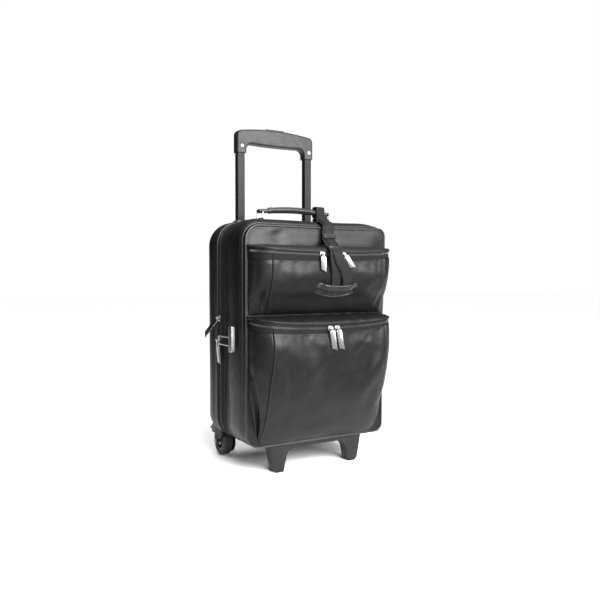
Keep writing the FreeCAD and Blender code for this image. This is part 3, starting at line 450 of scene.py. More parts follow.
# --- camera, light and floor ---
CAMERA_AT = Vector((-757.8, -1227.7, 424.4)) * MM + Vector(ORIGIN)
CAMERA_YAW, CAMERA_PITCH, CAMERA_LENS = 30.1, 1.9, 38.6
camera = add_object("camera", bpy.data.cameras.new("camera"))
camera.location = CAMERA_AT
camera.rotation_euler = (math.radians(90 - CAMERA_PITCH), 0, math.radians(-CAMERA_YAW))
camera.data.lens, camera.data.sensor_width = CAMERA_LENS, 36.0
bpy.context.scene.camera = camera
bpy.context.scene.view_settings.view_transform = "Standard"
LIT_POINT = Vector((0, 0, 0.35))


def softbox(name, place, size, watts):
    data = bpy.data.lights.new(name, "AREA")
    data.shape, data.size, data.size_y, data.energy = "RECTANGLE", size[0], size[1], watts
    light = add_object(name, data)
    light.location = place
    light.rotation_euler = (LIT_POINT - Vector(place)).to_track_quat("-Z", "Y").to_euler()


softbox("key_box", (0.0, -2.0, 1.2), (1.8, 1.4), 180)
softbox("right_box", (1.75, -2.2, 1.3), (0.5, 0.9), 34)
sun = add_object("floor_wash", bpy.data.lights.new("floor_wash", "SUN"))
sun.data.energy, sun.data.angle = 3.4, math.radians(70)

world = bpy.data.worlds.new("studio")
bpy.context.scene.world = world
world.use_nodes = True
background = world.node_tree.nodes["Background"]
background.inputs["Color"].default_value = (1, 1, 1, 1)
shade = add_node(world, "ShaderNodeMapRange", To_Min=0.07, To_Max=1.0)     # dim light, white backdrop
camera_ray = add_node(world, "ShaderNodeLightPath").outputs["Is Camera Ray"]
world.node_tree.links.new(camera_ray, shade.inputs["Value"])
world.node_tree.links.new(shade.outputs["Result"], background.inputs["Strength"])


def stage_sheet(name, corners, mat):
    mesh = plain_mesh(name, corners, [(0, 1, 2, 3)])
    mesh.materials.append(mat)
    sheet = add_object(name, mesh)
    return sheet


def level_corners(x0, x1, y0, y1, z):
    return [(x0, y0, z), (x1, y0, z), (x1, y1, z), (x0, y1, z)]


FLOOR_HALF, FLOOR_Z = 14.0, -0.0005
stage_sheet("floor", level_corners(-FLOOR_HALF, FLOOR_HALF, -FLOOR_HALF, FLOOR_HALF, FLOOR_Z),
            material("pale_floor", (0.9, 0.9, 0.9), 0.7, spec=0.1, vary=0.01))


def reflected_card(name, corners, grey):
    """Studio card that only reflections see; it keeps the leather dark without a shadow of its own."""
    card = stage_sheet(name, corners, material(name, (grey, grey, grey), 0.9, spec=0.0))
    card.visible_camera = card.visible_diffuse = card.visible_shadow = card.visible_transmission = False


reflected_card("side_card", [(-0.8, -0.35, 0.0), (-0.8, 2.6, 0.0), (-0.8, 2.6, 1.3), (-0.8, -0.35, 1.3)], 0.004)
reflected_card("front_card", level_corners(-1.5, 4.0, -4.5, -0.3, 0.002), 0.12)


# --- outlines of the case ---
def panel_grid(w, z0, z1, radii, y):
    """Upright grid of points filling a rectangle with four corner radii."""
    ease = CORNER_SPAN * (1 - np.cos(np.linspace(0, math.pi / 2, ROWS_CORNER + 1)))
    between = np.linspace(z0 + CORNER_SPAN, z1 - CORNER_SPAN, ROWS_SIDE + 1)[1:-1]
    z = np.concatenate([z0 + ease, between, z1 - ease[::-1]])

    def half_width(top, bottom):
        above, below = np.clip(z - z1 + top, 0, top), np.clip(z0 + bottom - z, 0, bottom)
        return w - top + np.sqrt(top ** 2 - above ** 2) - bottom + np.sqrt(bottom ** 2 - below ** 2)

    top_left, top_right, bottom_left, bottom_right = radii
    left, right = half_width(top_left, bottom_left)[:, None], half_width(top_right, bottom_right)[:, None]
    across = np.linspace(0, 1, COLS + 1)[None]
    x = -left + (left + right) * across
    return np.stack([x, np.full_like(x, y), np.broadcast_to(z[:, None], x.shape)], -1)


def body_ring(inset, y):
    radii = [max(r - inset, 2.0) for r in BODY["r"]]
    return ring_of(panel_grid(BODY["w"] - inset, BODY["z0"] + inset, BODY["z1"] - inset, radii, y))


def crown_share(y):
    t = np.clip(y / CROWN_Y, 0, 1)
    return 0.5 * t + 0.5 * math.sin(t * math.pi / 2)


def lid_ring(inset, y):
    s = crown_share(y)
    w, z0, z1 = (FACE[k] + s * (BODY[k] - FACE[k]) for k in ("w", "z0", "z1"))
    radii = [a + s * (b - a) - inset for a, b in zip(FACE["r"], BODY["r"])]
    return ring_of(panel_grid(w - inset, z0 + inset, z1 - inset, radii, y))


def face_panel(inset, y):
    radii = [r - inset for r in FACE["r"]]
    return panel_grid(FACE["w"] - inset, FACE["z0"] + inset, FACE["z1"] - inset, radii, y)


def ring_outward(ring):
    """Outward directions in the XZ plane along a closed ring."""
    d = np.roll(ring, -1, 0) - np.roll(ring, 1, 0)
    out = np.stack([d[:, 2], np.zeros(len(d)), -d[:, 0]], -1)
    return unit(out)


def shell(cap, rings):
    """Open shell from a cap grid and the rings that follow its edge."""
    rows, cols = cap.shape[:2]
    verts = [cap.reshape(-1, 3)] + list(rings)
    faces = grid_faces(rows, cols)
    before, n = ring_of(np.arange(rows * cols).reshape(rows, cols)), rows * cols
    for ring in rings:
        after = np.arange(n, n + len(ring))
        faces += strip_faces(before, after)
        before, n = after, n + len(ring)
    return np.concatenate(verts), faces, before


def closed_shell(outer, inner):
    (v0, f0, rim0), (v1, f1, rim1) = outer, inner
    n = len(v0)
    faces = f0 + [tuple(i + n for i in f) for f in f1] + strip_faces(rim0, rim1 + n)
    return np.concatenate([v0, v1]), faces


# --- front shell: puffed panel, crowned edge and straight sides with a rolled edge ---
def panel_puff(x, z):
    side_gap = FACE["w"] - np.abs(x)
    edge = smoothstep(side_gap, 4, 60) * smoothstep(FACE["z1"] - z, 3, 34) * smoothstep(z - FACE["z0"], 4, 50)
    puff = 2.8 * edge + 2.2 * bell(z, 498, 20) * smoothstep(side_gap, 4, 40)
    puff -= 3.4 * np.exp(-((x + 104) / 17) ** 2 - ((z - 512) / 13) ** 2)
    puff += ridge(x, z, (-150, 520), (-96, 533), 6, 1.0)
    puff += ridge(x, z, (20, 516), (150, 522), 7, 0.7)
    return puff


def side_relief(ring, amount, seed):
    return ring + ring_outward(ring) * (waves(ring, 120.0, seed) * amount)[:, None]


face_grid = face_panel(0.0, 0.0)
face_grid[..., 1] -= panel_puff(face_grid[..., 0], face_grid[..., 2])
front_rings = []
for y, bulge in ((1.5, 0.2), (5, 0.5), (9, 0.5), (13, 0.1), (17, 0.7), (24, 1.0), (33, 0.9), (42, 0.6),
                 (50, 0.4), (58, 0.3), (66, 0.1), (73, -0.2), (77, -0.3), (79.5, 0.1), (81.2, 0.8), (82.8, 0.9),
                 (84.0, 0.2)):
    front_rings.append(side_relief(lid_ring(-bulge, y), 0.45 if 16 < y < 77 else 0.0, 3))
inner_rings = [lid_ring(LEATHER, y) for y in (13, 30, 50, 70, 84.0)]
front_verts, front_faces = closed_shell(shell(face_grid, front_rings),
                                        shell(face_panel(LEATHER, LEATHER), inner_rings))
put("lid_leather", front_verts, front_faces, "lid", "leather", LEATHER_MAT, ("front_shell",), sharp=60)

piping_parts = [tube_along(ring, radius, 10, True, up=(0, 1, 0))
                for ring, radius in ((ring_of(face_panel(0.2, -0.2)), 2.5), (lid_ring(0.3, 13.0), 2.1))]
put("edge_piping_cords", *merge(piping_parts), "lid", "piping", PIPING_MAT, ("edge_piping",))

lid_thread = []
for y, inset in ((18.5, -0.75), (21.0, -0.95), (77.0, -0.2)):
    ring = lid_ring(inset, y)
    lid_thread.append(stitches(ring, ring_outward(ring), True))
inner_ring = ring_of(face_panel(7.0, 0))
inner_ring[:, 1] = -panel_puff(inner_ring[:, 0], inner_ring[:, 2]) - 0.1


def off_panel(p):
    """True where the pockets lie on the panel, which ends its row of stitches."""
    return abs(p[0]) < 168 and 80 < p[2] < 500 or p[2] < 200


lid_thread.append(stitches(inner_ring, np.tile([0, -1.0, 0], (len(inner_ring), 1)), True, skip=off_panel))


# --- zipper tape round the case, with its cords and teeth ---
def swept_band(profile):
    """Solid that follows the outline of the body, from its section (inset, depth)."""
    rings = [body_ring(inset, y) for inset, y in profile]
    return np.concatenate(rings), loop_faces(len(rings), len(rings[0]))


front_profile = [(3.1, 80.5), (3.0, 88), (3.0, 97), (2.1, 98.4), (2.1, 100.4), (3.0, 101.8), (3.0, 112),
                 (2.2, 113.2), (2.2, 115), (3.0, 116.2), (3.0, 121.0), (2.2, 121.8), (2.0, 122.8),
                 (2.3, 123.8), (3.1, 124.4), (3.1, 126.6), (5.1, 126.6), (5.1, 80.5)]
rear_profile = [(3.1, 127.4), (3.1, 129.6), (2.3, 130.2), (2.0, 131.2), (2.2, 132.2), (3.0, 133), (3.0, 142),
                (3.1, 151), (5.1, 151), (5.1, 127.4)]
put("lid_zipper_tape", *swept_band(front_profile), "lid", "tape", TAPE_MAT, ("front_zip_tape",), sharp=50)
put("rear_zipper_tape", *swept_band(rear_profile), "rear_case", "tape", TAPE_MAT, ("rear_zip_tape",), sharp=50)


def at_hinge(p):
    """True along the hinge strip, where the zipper has no teeth."""
    return p[2] < 63 and abs(p[0]) < 121


for name, body, y, shift in (("lid_zipper_teeth", "lid", 125.6, 0.0),
                             ("rear_zipper_teeth", "rear_case", 128.4, 1.3)):
    ring = body_ring(3.0, y)
    across = np.tile([0.0, 1.0, 0.0], (len(ring), 1))
    put(name, *teeth(ring, ring_outward(ring), across, 2.6, (1.5, 2.5, 1.5), shift, True, at_hinge),
        body, "tape", COIL_MAT, smooth=False)


# --- rear shell: sides, rounded back edge and back panel, open for the trolley fittings and wheels ---
BACK_SWEEP = 49.0                    # depth over which the soft back edge rounds off


def back_ring(theta, extra=0.0):
    inset = BACK_ROUND * (1 - math.cos(theta)) + extra * math.cos(theta)
    return slimmed(body_ring(inset, BACK_Y - BACK_SWEEP + (BACK_SWEEP - extra) * math.sin(theta)))


def slimmed(ring):
    """The unloaded rear half draws in a little towards its foot."""
    x, y, z = ring.T
    pull = 0.6 * smoothstep(y, 130, 190) * smoothstep(z, 330, 110)
    return np.stack([x - np.sign(x) * pull * smoothstep(np.abs(x), 100, 150), y, z], -1)


# room for the trolley's bezel above and its foot bracket below, and for each wheel housing
ROOM_FRONT, BEZEL_HALF_W, BEZEL_BOTTOM = 189.7, 115.3, 504.7
BRACKET_HALF_W, BRACKET_TOP = 114.3, 112.3
WELL_RADIUS, WELL_HALF_W = 44.2, 19.2
THREAD_GAP = 2.3


def fitting_zone(p):
    """True where the trolley's plastic fittings and the wheel wells leave no leather to sew."""
    x, y, z = p
    if abs(x) < 117 and y > 188 and (z > 503 or z < 114):
        return True
    return (math.hypot(y - WHEEL_Y, z - WHEEL_Z) < WELL_RADIUS + THREAD_GAP
            and abs(abs(x) - WHEEL_X) < WELL_HALF_W + THREAD_GAP)


rear_rings = []
for y, inset in ((139.0, 0.2), (140.2, -0.9), (141.8, -0.8), (143.5, -0.1), (147, 0.0), (152, 0.0), (156, 0.05),
                 (158, 0.9), (160, 0.1)):
    rear_rings.append(slimmed(side_relief(body_ring(inset, y), 0.3 if 146 < y < 155 else 0.0, 8)))
for theta in np.radians(np.linspace(3, 86, 15)):
    rear_rings.append(side_relief(back_ring(theta), 0.4 * math.sin(2 * theta), 8))
FLAT_BACK = 138.0, 103.0, 510.0, (9.0, 5.0, 6.0, 4.0)     # half width, bottom, top and corner radii
back_grid = panel_grid(*FLAT_BACK, BACK_Y)
inner_back = panel_grid(*FLAT_BACK, BACK_Y - LEATHER)
inner_rings = [back_ring(theta, LEATHER) for theta in np.radians((75, 60, 45, 30, 15))]
inner_rings += [slimmed(body_ring(LEATHER, y)) for y in (160.0, 150.0, 139.0)]
rear_verts, rear_faces = closed_shell(shell(back_grid, rear_rings[::-1]), shell(inner_back, inner_rings))
rear_leather = put("rear_leather", rear_verts, rear_faces, "rear_case", "leather", LEATHER_MAT, ("rear_shell",),
                   sharp=60)


def block(x0, x1, y0, y1, z0, z1):
    v = [(x, y, z) for x in (x0, x1) for y in (y0, y1) for z in (z0, z1)]
    return v, [(0, 1, 3, 2), (4, 6, 7, 5), (0, 4, 5, 1), (2, 3, 7, 6), (0, 2, 6, 4), (1, 5, 7, 3)]


def wheel_well(x):
    return tube_along([(x + side * WELL_HALF_W, WHEEL_Y, WHEEL_Z) for side in (-1, 1)], WELL_RADIUS, 64)


def apply_modifiers(obj):
    dg = bpy.context.evaluated_depsgraph_get()
    dg.update()
    mesh = bpy.data.meshes.new_from_object(obj.evaluated_get(dg))
    obj.modifiers.clear()
    old = obj.data
    obj.data = mesh
    bpy.data.meshes.remove(old)


tool_verts, tool_faces = merge([block(-BEZEL_HALF_W, BEZEL_HALF_W, ROOM_FRONT, 240, BEZEL_BOTTOM, 600),
                                block(-BRACKET_HALF_W, BRACKET_HALF_W, ROOM_FRONT, 240, 0, BRACKET_TOP),
                                wheel_well(-WHEEL_X), wheel_well(WHEEL_X)])
tool = add_object("cut_tool", plain_mesh("cut_tool", (tool_verts * MM + ORIGIN).tolist(), tool_faces))
face_outwards(tool.data)
cut = rear_leather.modifiers.new("cut", "BOOLEAN")
cut.operation, cut.object, cut.solver = "DIFFERENCE", tool, "EXACT"
apply_modifiers(rear_leather)
bpy.data.objects.remove(tool)

rear_thread = []
for y, inset in ((154.4, 0.0), (161.6, 0.1), (146.0, 0.0)):
    ring = slimmed(body_ring(inset, y))
    rear_thread.append(stitches(ring, ring_outward(ring), True, skip=fitting_zone))
put("rear_stitching", *merge(rear_thread), "rear_case", "leather", THREAD_MAT)

# --- pockets ---
POCKET_CORNER, SIDE_SHARE = 44.0, 0.25
U_SIDE, U_ARC = 0.05, 0.20       # share of the section taken by the side and by side and corner


def pocket_points(u, depth, half_w):
    """Section of a pocket: u runs from the left edge to the right edge; depth and half width are columns."""
    depth, half_w = depth[:, None], half_w[:, None]
    side = SIDE_SHARE * depth
    mirror = np.where(u > 0.5, -1.0, 1.0)
    v = np.where(u > 0.5, 1 - u, u)
    corner = np.minimum(POCKET_CORNER, half_w * 0.3)
    angle = np.clip((v - U_SIDE) / (U_ARC - U_SIDE), 0, 1) * math.pi / 2
    x = -half_w + corner * (1 - np.cos(angle))
    y = -side - (depth - side) * np.sin(angle)
    x = np.where(v < U_SIDE, -half_w + 0 * v, x)
    y = np.where(v < U_SIDE, -side * v / U_SIDE, y)
    front = np.clip((v - U_ARC) / (0.5 - U_ARC), 0, 1)
    x = np.where(v > U_ARC, (-half_w + corner) * (1 - front), x)
    return mirror * x, np.minimum(y, -0.3)


SEAM_U = 0.17                        # the gusset seam, just round the front corner


def follow_seam(u, place):
    """Slides the columns so that the one at SEAM_U lies at the place given for each row."""
    u, place = np.asarray(u)[None], np.asarray(place)[:, None]
    m = np.minimum(u, 1 - u)
    slid = np.where(m < SEAM_U, m * place / SEAM_U, place + (m - SEAM_U) * (0.5 - place) / (0.5 - SEAM_U))
    return np.where(u > 0.5, 1 - slid, slid)


def end_rise(u):
    """1 where a pocket's side meets the panel, 0 from its front corners inwards."""
    v = np.minimum(u, 1 - u)
    return (1 - smoothstep(v, 0.0, U_ARC + 0.01)) ** 1.3


def front_bow(u):
    """0 at the middle of a zipper, 1 at the front corners."""
    v = np.abs(0.5 - np.asarray(u)) / (0.5 - U_ARC)
    return np.minimum(v, 1.15) ** 2.2


CAP_DROOP = 4.0                      # how far a cap's upper edge hangs where its sides meet the panel


class Pocket:
    """Sheet of leather over a pocket, from its levels (height, depth, half width) and its seam (height, u).

    rises says how far the zipper edge climbs, for its left and right halves: at the front corners, then
    at the panel. The climb builds up over span, or for a cap it fades there.
    """

    def __init__(self, levels, seam, rises, span, cap=False):
        self.levels, self.seam = np.array(levels, float), np.array(seam, float)
        self.rises, self.span, self.cap = rises, span, cap
        step = np.hypot(np.diff(self.levels[:, 0]), np.diff(self.levels[:, 1]))
        self.s = np.concatenate([[0], np.cumsum(step)])

    def climb(self, u, z):
        bow, end = (np.where(u > 0.5, right, left) for left, right in self.rises)
        climb = bow * front_bow(u) + end * end_rise(u)
        share = smoothstep(z, *self.span)
        return climb * (1 - share) - CAP_DROOP * end_rise(u) * share if self.cap else climb * share

    def base(self, u, v):
        s = np.asarray(v) * self.s[-1]
        z, depth, half_w = (smooth_curve(self.s, self.levels[:, i], s) for i in range(3))
        u = follow_seam(u, smooth_curve(self.seam[:, 0], self.seam[:, 1], z))
        x, y = pocket_points(u, depth, half_w)
        z = z[:, None] + self.climb(u, z[:, None])
        return np.stack([x, y, np.broadcast_to(z, x.shape)], -1)


UPPER_SEAM = ((340, 0.192), (390, 0.180), (425, 0.176), (500, 0.174))
LOWER_SEAM = ((60, 0.052), (74, 0.072), (104, 0.128), (138, 0.148), (189, 0.160), (236, 0.164), (350, 0.168))
upper_bag = Pocket(((345.4, 0.5, 173.0), (346.6, 5, 173.6), (353, 11.5, 174), (365, 18.5, 174),
                    (385, 28.8, 174), (400, 38.5, 174), (415, 45.5, 174), (428, 50.3, 174), (440, 53, 174),
                    (452, 54, 174), (462, 53.0, 174)),
                   UPPER_SEAM, ((0.5, 6.0), (1.0, 9.0)), (400, 462))
upper_cap = Pocket(((482, 53.0, 174), (486.8, 51.6, 175.6), (491.4, 43.5, 175.8), (495.4, 22, 174.6),
                    (498, 0.6, 173)),
                   UPPER_SEAM, ((3.0, 3.0), (6.5, 6.5)), (482, 498), cap=True)
lower_bag = Pocket(((65.2, 0.5, 137), (66.4, 5, 139.5), (72.5, 9, 147), (80, 13, 152.5), (92, 18, 158),
                    (110, 24.5, 163), (145, 35.5, 168.6), (180, 46.5, 172.5), (215, 57.0, 174),
                    (240, 63.0, 174), (262, 66.4, 174), (280, 66.8, 174), (295, 65.2, 174),
                    (306.6, 62.7, 174)),
                   LOWER_SEAM, ((3.0, 9.0), (6.0, 14.0)), (200, 306))
lower_cap = Pocket(((326, 62.7, 174), (330.6, 61.6, 175.8), (336.6, 51, 176.2), (342.2, 27, 175),
                    (345.2, 0.6, 173)),
                   LOWER_SEAM, ((5.5, 4.0), (9.0, 4.0)), (326, 345), cap=True)


# --- cloth: the two bags are blown out softly between their seams ---
SIM_FRAMES, SIM_SOFTEN = 20, 6.0     # a point never moves further than SIM_SOFTEN millimetres
CLOTH = dict(quality=6, mass=0.35, tension_stiffness=22, compression_stiffness=22, shear_stiffness=12,
             bending_stiffness=14.0, use_pressure=True, uniform_pressure_force=7.0, shrink_min=-0.006,
             vertex_group_mass="pins")


def simulate(sheets):
    """Runs every sheet (name, grid of points in mm) together and returns how far each point moved."""
    made = []
    for name, grid in sheets:
        rows, cols = grid.shape[:2]
        obj = add_object(name, plain_mesh(name, (grid.reshape(-1, 3) * MM).tolist(), grid_faces(rows, cols)))
        pins = obj.vertex_groups.new(name="pins")
        index = np.arange(rows * cols).reshape(rows, cols)
        edge = np.concatenate([index[0], index[-1], index[:, 0], index[:, -1]])
        pins.add([int(i) for i in np.unique(edge)], 1.0, "REPLACE")
        cloth = obj.modifiers.new("cloth", "CLOTH").settings
        for setting, value in CLOTH.items():
            setattr(cloth, setting, value)
        cloth.effector_weights.gravity = 0.6
        made.append((obj, grid))
    scene = bpy.context.scene
    for f in range(1, SIM_FRAMES + 1):
        scene.frame_set(f)
    dg = bpy.context.evaluated_depsgraph_get()
    moves = []
    for obj, grid in made:
        mesh = obj.evaluated_get(dg).to_mesh()
        co = np.zeros(len(mesh.vertices) * 3)
        mesh.vertices.foreach_get("co", co)
        move = co.reshape(grid.shape) / MM - grid
        size = np.linalg.norm(move, axis=-1, keepdims=True)
        moves.append(move * SIM_SOFTEN / (SIM_SOFTEN + size))
        bpy.data.objects.remove(obj)
    scene.frame_set(1)
    return moves


coarse_u = np.linspace(0, 1, 67)
upper_coarse = upper_bag.base(coarse_u, np.linspace(0, 1, 24))
lower_coarse = lower_bag.base(coarse_u, np.linspace(0, 1, 42))
for grid in (upper_coarse, lower_coarse):     # keeps the columns apart where the sheet meets the panel
    grid[..., 1] -= 12 * np.minimum(np.minimum(coarse_u, 1 - coarse_u), SEAM_U)
upper_move, lower_move = simulate([("upper_sheet", upper_coarse), ("lower_sheet", lower_coarse)])

near_seam = np.linspace(-0.012, 0.012, 15)
fine_u = np.concatenate([np.linspace(0, 1, 171), SEAM_U + near_seam, 1 - SEAM_U + near_seam])
fine_u = np.unique(np.round(fine_u, 5))


def seam_relief(u):
    """Groove of the gusset seam with the raised edge of the folded leather beside it."""
    relief = np.zeros_like(u)
    for centre, inward in ((SEAM_U, 1), (1 - SEAM_U, -1)):
        d = (u - centre) * inward * 560
        relief += -1.5 * np.exp(-(d / 0.9) ** 2) + 0.8 * np.exp(-((d - 2.6) / 2.0) ** 2)
    return relief


def edge_lip(distance):
    """Rolled edge of the leather beside a zipper."""
    return 0.7 * np.exp(-((distance - 2.4) / 2.4) ** 2) - 0.25 * np.exp(-((distance - 6.4) / 1.4) ** 2)


def finish_sheet(pocket, rows, move, mask, folds):
    """Fine sheet of a pocket with its cloth movement, seams and folds: rows, points and normals."""
    lip_v = np.linspace(0, 9.0 / pocket.s[-1], 9)
    v = np.unique(np.concatenate([np.linspace(0, 1, rows), lip_v if pocket.cap else 1 - lip_v]))
    grid = pocket.base(fine_u, v)
    if move is not None:
        step = resample(resample(move, v * (len(move) - 1), 0), fine_u * (len(coarse_u) - 1), 1)
        grid = grid + step * mask(grid[..., 0], grid[..., 2])[..., None]
    normal = grid_normals(grid)
    if normal[rows // 2, len(fine_u) // 2, 1] > 0:
        normal = -normal
    x, z = grid[..., 0], grid[..., 2]
    fade = smoothstep(v, 0, 0.08)[:, None] * smoothstep(np.minimum(fine_u, 1 - fine_u), 0, 0.02)[None]
    lift = seam_relief(fine_u)[None] * (0.5 * fade if pocket.cap else fade)
    if pocket.cap:
        lift = lift + edge_lip(v * pocket.s[-1])[:, None]
    if folds is not None:
        lift = lift + folds(x, z, np.broadcast_to(fine_u[None], x.shape)) * fade
    grid = grid + normal * lift[..., None]
    grid[..., 1] = np.minimum(grid[..., 1], -0.25)
    return v, grid, normal


def upper_mask(x, z):
    """Keeps the sheet down where the patch and the pulls lie on it."""
    patch = np.exp(-(((x - 22) / 72) ** 2) ** 1.5 - (((z - 404) / 34) ** 2) ** 1.5)
    pulls = np.exp(-(((x - 5) / 58) ** 2) ** 1.5 - (((z - 450) / 26) ** 2) ** 1.5)
    return 1 - 0.97 * np.clip(patch + 0.85 * pulls, 0, 1)


def lower_mask(x, z):
    pulls = np.exp(-(((x + 8) / 30) ** 2) ** 1.5 - (((z - 285) / 38) ** 2) ** 1.5)
    return 1 - 0.85 * pulls


def creases(x, z, table):
    """Height of several soft folds, each (from, to, width, height)."""
    return sum(ridge(x, z, a, b, width, height) for a, b, width, height in table)


UPPER_CREASES = (((-126, 446), (-50, 428), 14, 1.2), ((70, 448), (150, 424), 14, 2.4),
                 ((150, 448), (166, 380), 9, 1.2), ((-60, 380), (40, 362), 12, -1.2),
                 ((-126, 400), (-118, 356), 8, 1.4))
LOWER_CREASES = (((-138, 294), (-34, 218), 27, 7.5), ((-60, 300), (-20, 276), 12, 1.6),
                 ((134, 250), (84, 150), 17, 2.4), ((60, 292), (128, 272), 8, 1.2),
                 ((96, 298), (60, 262), 6, -1.0), ((-120, 170), (-96, 120), 12, -1.6),
                 ((-118, 240), (-112, 150), 9, 1.5), ((-60, 96), (90, 92), 9, 1.0))
CAP_CREASES = ((40, 0.9), (62, -0.8), (78, 1.0), (96, -0.7), (-60, 0.5), (-100, -0.6), (120, 0.8), (136, -0.6))


def upper_folds(x, z, u):
    front = smoothstep(np.minimum(u, 1 - u), SEAM_U, SEAM_U + 0.1)
    lift = 6.0 * bell(z, 426, 24) * front * (1 - 0.85 * np.exp(-((x - 22) / 62) ** 4))
    lift += creases(x, z, UPPER_CREASES)
    for depth, at_u, wide, at_z, high in ((8.0, 0.150, 0.016, 376, 24), (3.0, 0.85, 0.02, 372, 22),
                                          (2.2, 0.095, 0.02, 430, 22)):
        lift -= depth * bell(u, at_u, wide) * bell(z, at_z, high)
    return lift + 0.35 * waves(np.stack([x, z * 1.4, 0 * x], -1), 70.0, 21)


def lower_folds(x, z, u):
    lift = creases(x, z, LOWER_CREASES)
    fold = 0.052 + 0.065 * smoothstep(z, 260, 90)
    foot = smoothstep(z, 66, 96)
    lift -= 9.0 * bell(u, fold, 0.017) * smoothstep(z, 262, 150) * foot
    lift += 2.5 * bell(u, fold + 0.035, 0.02) * smoothstep(z, 270, 180) * foot
    lift -= 4.0 * bell(1 - u, fold, 0.02) * smoothstep(z, 262, 150) * foot
    return lift + 0.55 * waves(np.stack([x, z * 1.2, 0 * x], -1), 78.0, 5)


def cap_folds(x, z, u):
    return 0.9 * sum(height * bell(x + (z - 335) * 1.4, place, 6) for place, height in CAP_CREASES)


def facing_front(grid):
    """The grid with its rows in the order that makes its normals point forwards."""
    rows, cols = grid.shape[:2]
    return grid[::-1] if grid_normals(grid)[rows // 2, cols // 2, 1] > 0 else grid


LEATHER_SHEET = 2.2                  # thickness of the pockets' leather
sheets = {}
for name, nodes, pocket, rows, move, mask, folds in (
        ("upper_pocket_bag", ("upper_pocket",), upper_bag, 60, upper_move, upper_mask, upper_folds),
        ("upper_pocket_top", (), upper_cap, 26, None, None, None),
        ("lower_pocket_bag", ("lower_pocket",), lower_bag, 104, lower_move, lower_mask, lower_folds),
        ("lower_pocket_top", (), lower_cap, 28, None, None, cap_folds)):
    v, grid, normal = finish_sheet(pocket, rows, move, mask, folds)
    sheets[name] = pocket, v, grid, normal
    put(name, *thick_sheet(facing_front(grid), LEATHER_SHEET), "lid", "leather", POCKET_MAT, nodes, sharp=70)


def sheet_line_u(name, u, v_range):
    """Path up a sheet at a constant u, with its normals."""
    _, v, grid, normal = sheets[name]
    t = np.full(1, np.interp(u, fine_u, np.arange(len(fine_u))))
    inside = (v >= v_range[0]) & (v <= v_range[1])
    return [resample(g, t, 1)[inside, 0] for g in (grid, normal)]


def sheet_line_v(name, distance, u_range=(0.0, 1.0)):
    """Path across a sheet at a distance in millimetres from its zipper edge, with its normals."""
    pocket, v, grid, normal = sheets[name]
    at = distance / pocket.s[-1] if pocket.cap else 1 - distance / pocket.s[-1]
    t = np.full(1, np.interp(at, v, np.arange(len(v))))
    inside = (fine_u >= u_range[0]) & (fine_u <= u_range[1])
    return [resample(g, t, 0)[0, inside] for g in (grid, normal)]


BAGS, CAPS = ("upper_pocket_bag", "lower_pocket_bag"), ("upper_pocket_top", "lower_pocket_top")
SEAM_THREADS, EDGE_THREAD = (0.0062, 0.0105), 5.6      # in u from the seam, in millimetres from the zipper
for name in BAGS + CAPS:
    if name in BAGS:
        for u in [SEAM_U + d for d in SEAM_THREADS] + [1 - SEAM_U - d for d in SEAM_THREADS]:
            lid_thread.append(stitches(*sheet_line_u(name, u, (0.06, 0.975))))
    lid_thread.append(stitches(*sheet_line_v(name, EDGE_THREAD, (0.03, 0.97))))
put("lid_stitching", *merge(lid_thread), "lid", "leather", THREAD_MAT)

# --- pocket zippers: recessed tape between the two leather edges, with its coil ---
RECESS, GROOVE = 1.7, 0.7            # depth of the tape behind the leather, and of the coil's groove in it


def band_between(low_name, high_name, coil_share):
    """Grid of the tape, and the path, outward directions and upward directions of its coil."""
    low, high = (sheet_line_v(name, 0.0)[0] for name in (low_name, high_name))
    near_coil = [coil_share + step for step in (-0.14, -0.1, 0.1, 0.14)]
    share = np.sort([-0.12, 0.0, 0.12, 0.3, *near_coil, 0.75, 0.88, 1.0, 1.12])[:, None, None]
    grid = low[None] * (1 - share) + high[None] * share
    d = unit(np.gradient(low, axis=0))
    out = unit(np.stack([d[:, 1], -d[:, 0], 0 * d[:, 0]], -1))
    if out[len(out) // 2, 1] > 0:
        out = -out
    grid = grid - out[None] * (RECESS + GROOVE * np.exp(-((share - coil_share) / 0.12) ** 2))
    grid[..., 1] = np.minimum(grid[..., 1], -0.3)
    path = low * (1 - coil_share) + high * coil_share - out * (RECESS + GROOVE)
    return grid, path, out, unit(high - low)


band_parts, coil_parts = [], []
for low_name, high_name, share in zip(BAGS, CAPS, (0.72, 0.59)):
    grid, path, out, across = band_between(low_name, high_name, share)
    band_parts.append(thick_sheet(facing_front(grid), 1.4))
    inner = slice(4, -4)
    for offset, shift in ((-1.05, 0.0), (1.05, 1.2)):
        coil_parts.append(teeth((path + across * offset)[inner], out[inner], across[inner], 2.4,
                                (1.25, 2.9, 1.5), shift))
# the band's darker colour is partly painted shade of the recess
put("pocket_zipper_tape", *merge(band_parts), "lid", "tape", BAND_SHADED_MAT, ("pocket_zip_tapes",), sharp=60)
put("pocket_zipper_coils", *merge(coil_parts), "lid", "tape", COIL_MAT, smooth=False)

# --- welts where the bags meet the panel, at the sides and below ---
welts = []
for name in BAGS:
    grid = sheets[name][2]
    path = np.concatenate([grid[::-1, 0][::3], grid[0, 1:-1:2], grid[::3, -1]])
    path[:, 1] = -0.6
    path += unit((path - path.mean(0)) * [1, 0, 1]) * 0.8
    welts.append(tube_along(path, 1.5, 8, up=(0, 1, 0)))
put("pocket_welts", *merge(welts), "lid", "piping", PIPING_MAT)

# --- strap patch: domed oval with a pressed rim line ---
PATCH_AT, PATCH_LEAN = np.array([22.0, -38.1, 404.0]), math.radians(21.1)
PATCH_HALF_W, PATCH_HALF_H, PATCH_SIDES = 60.0, 21.5, 96


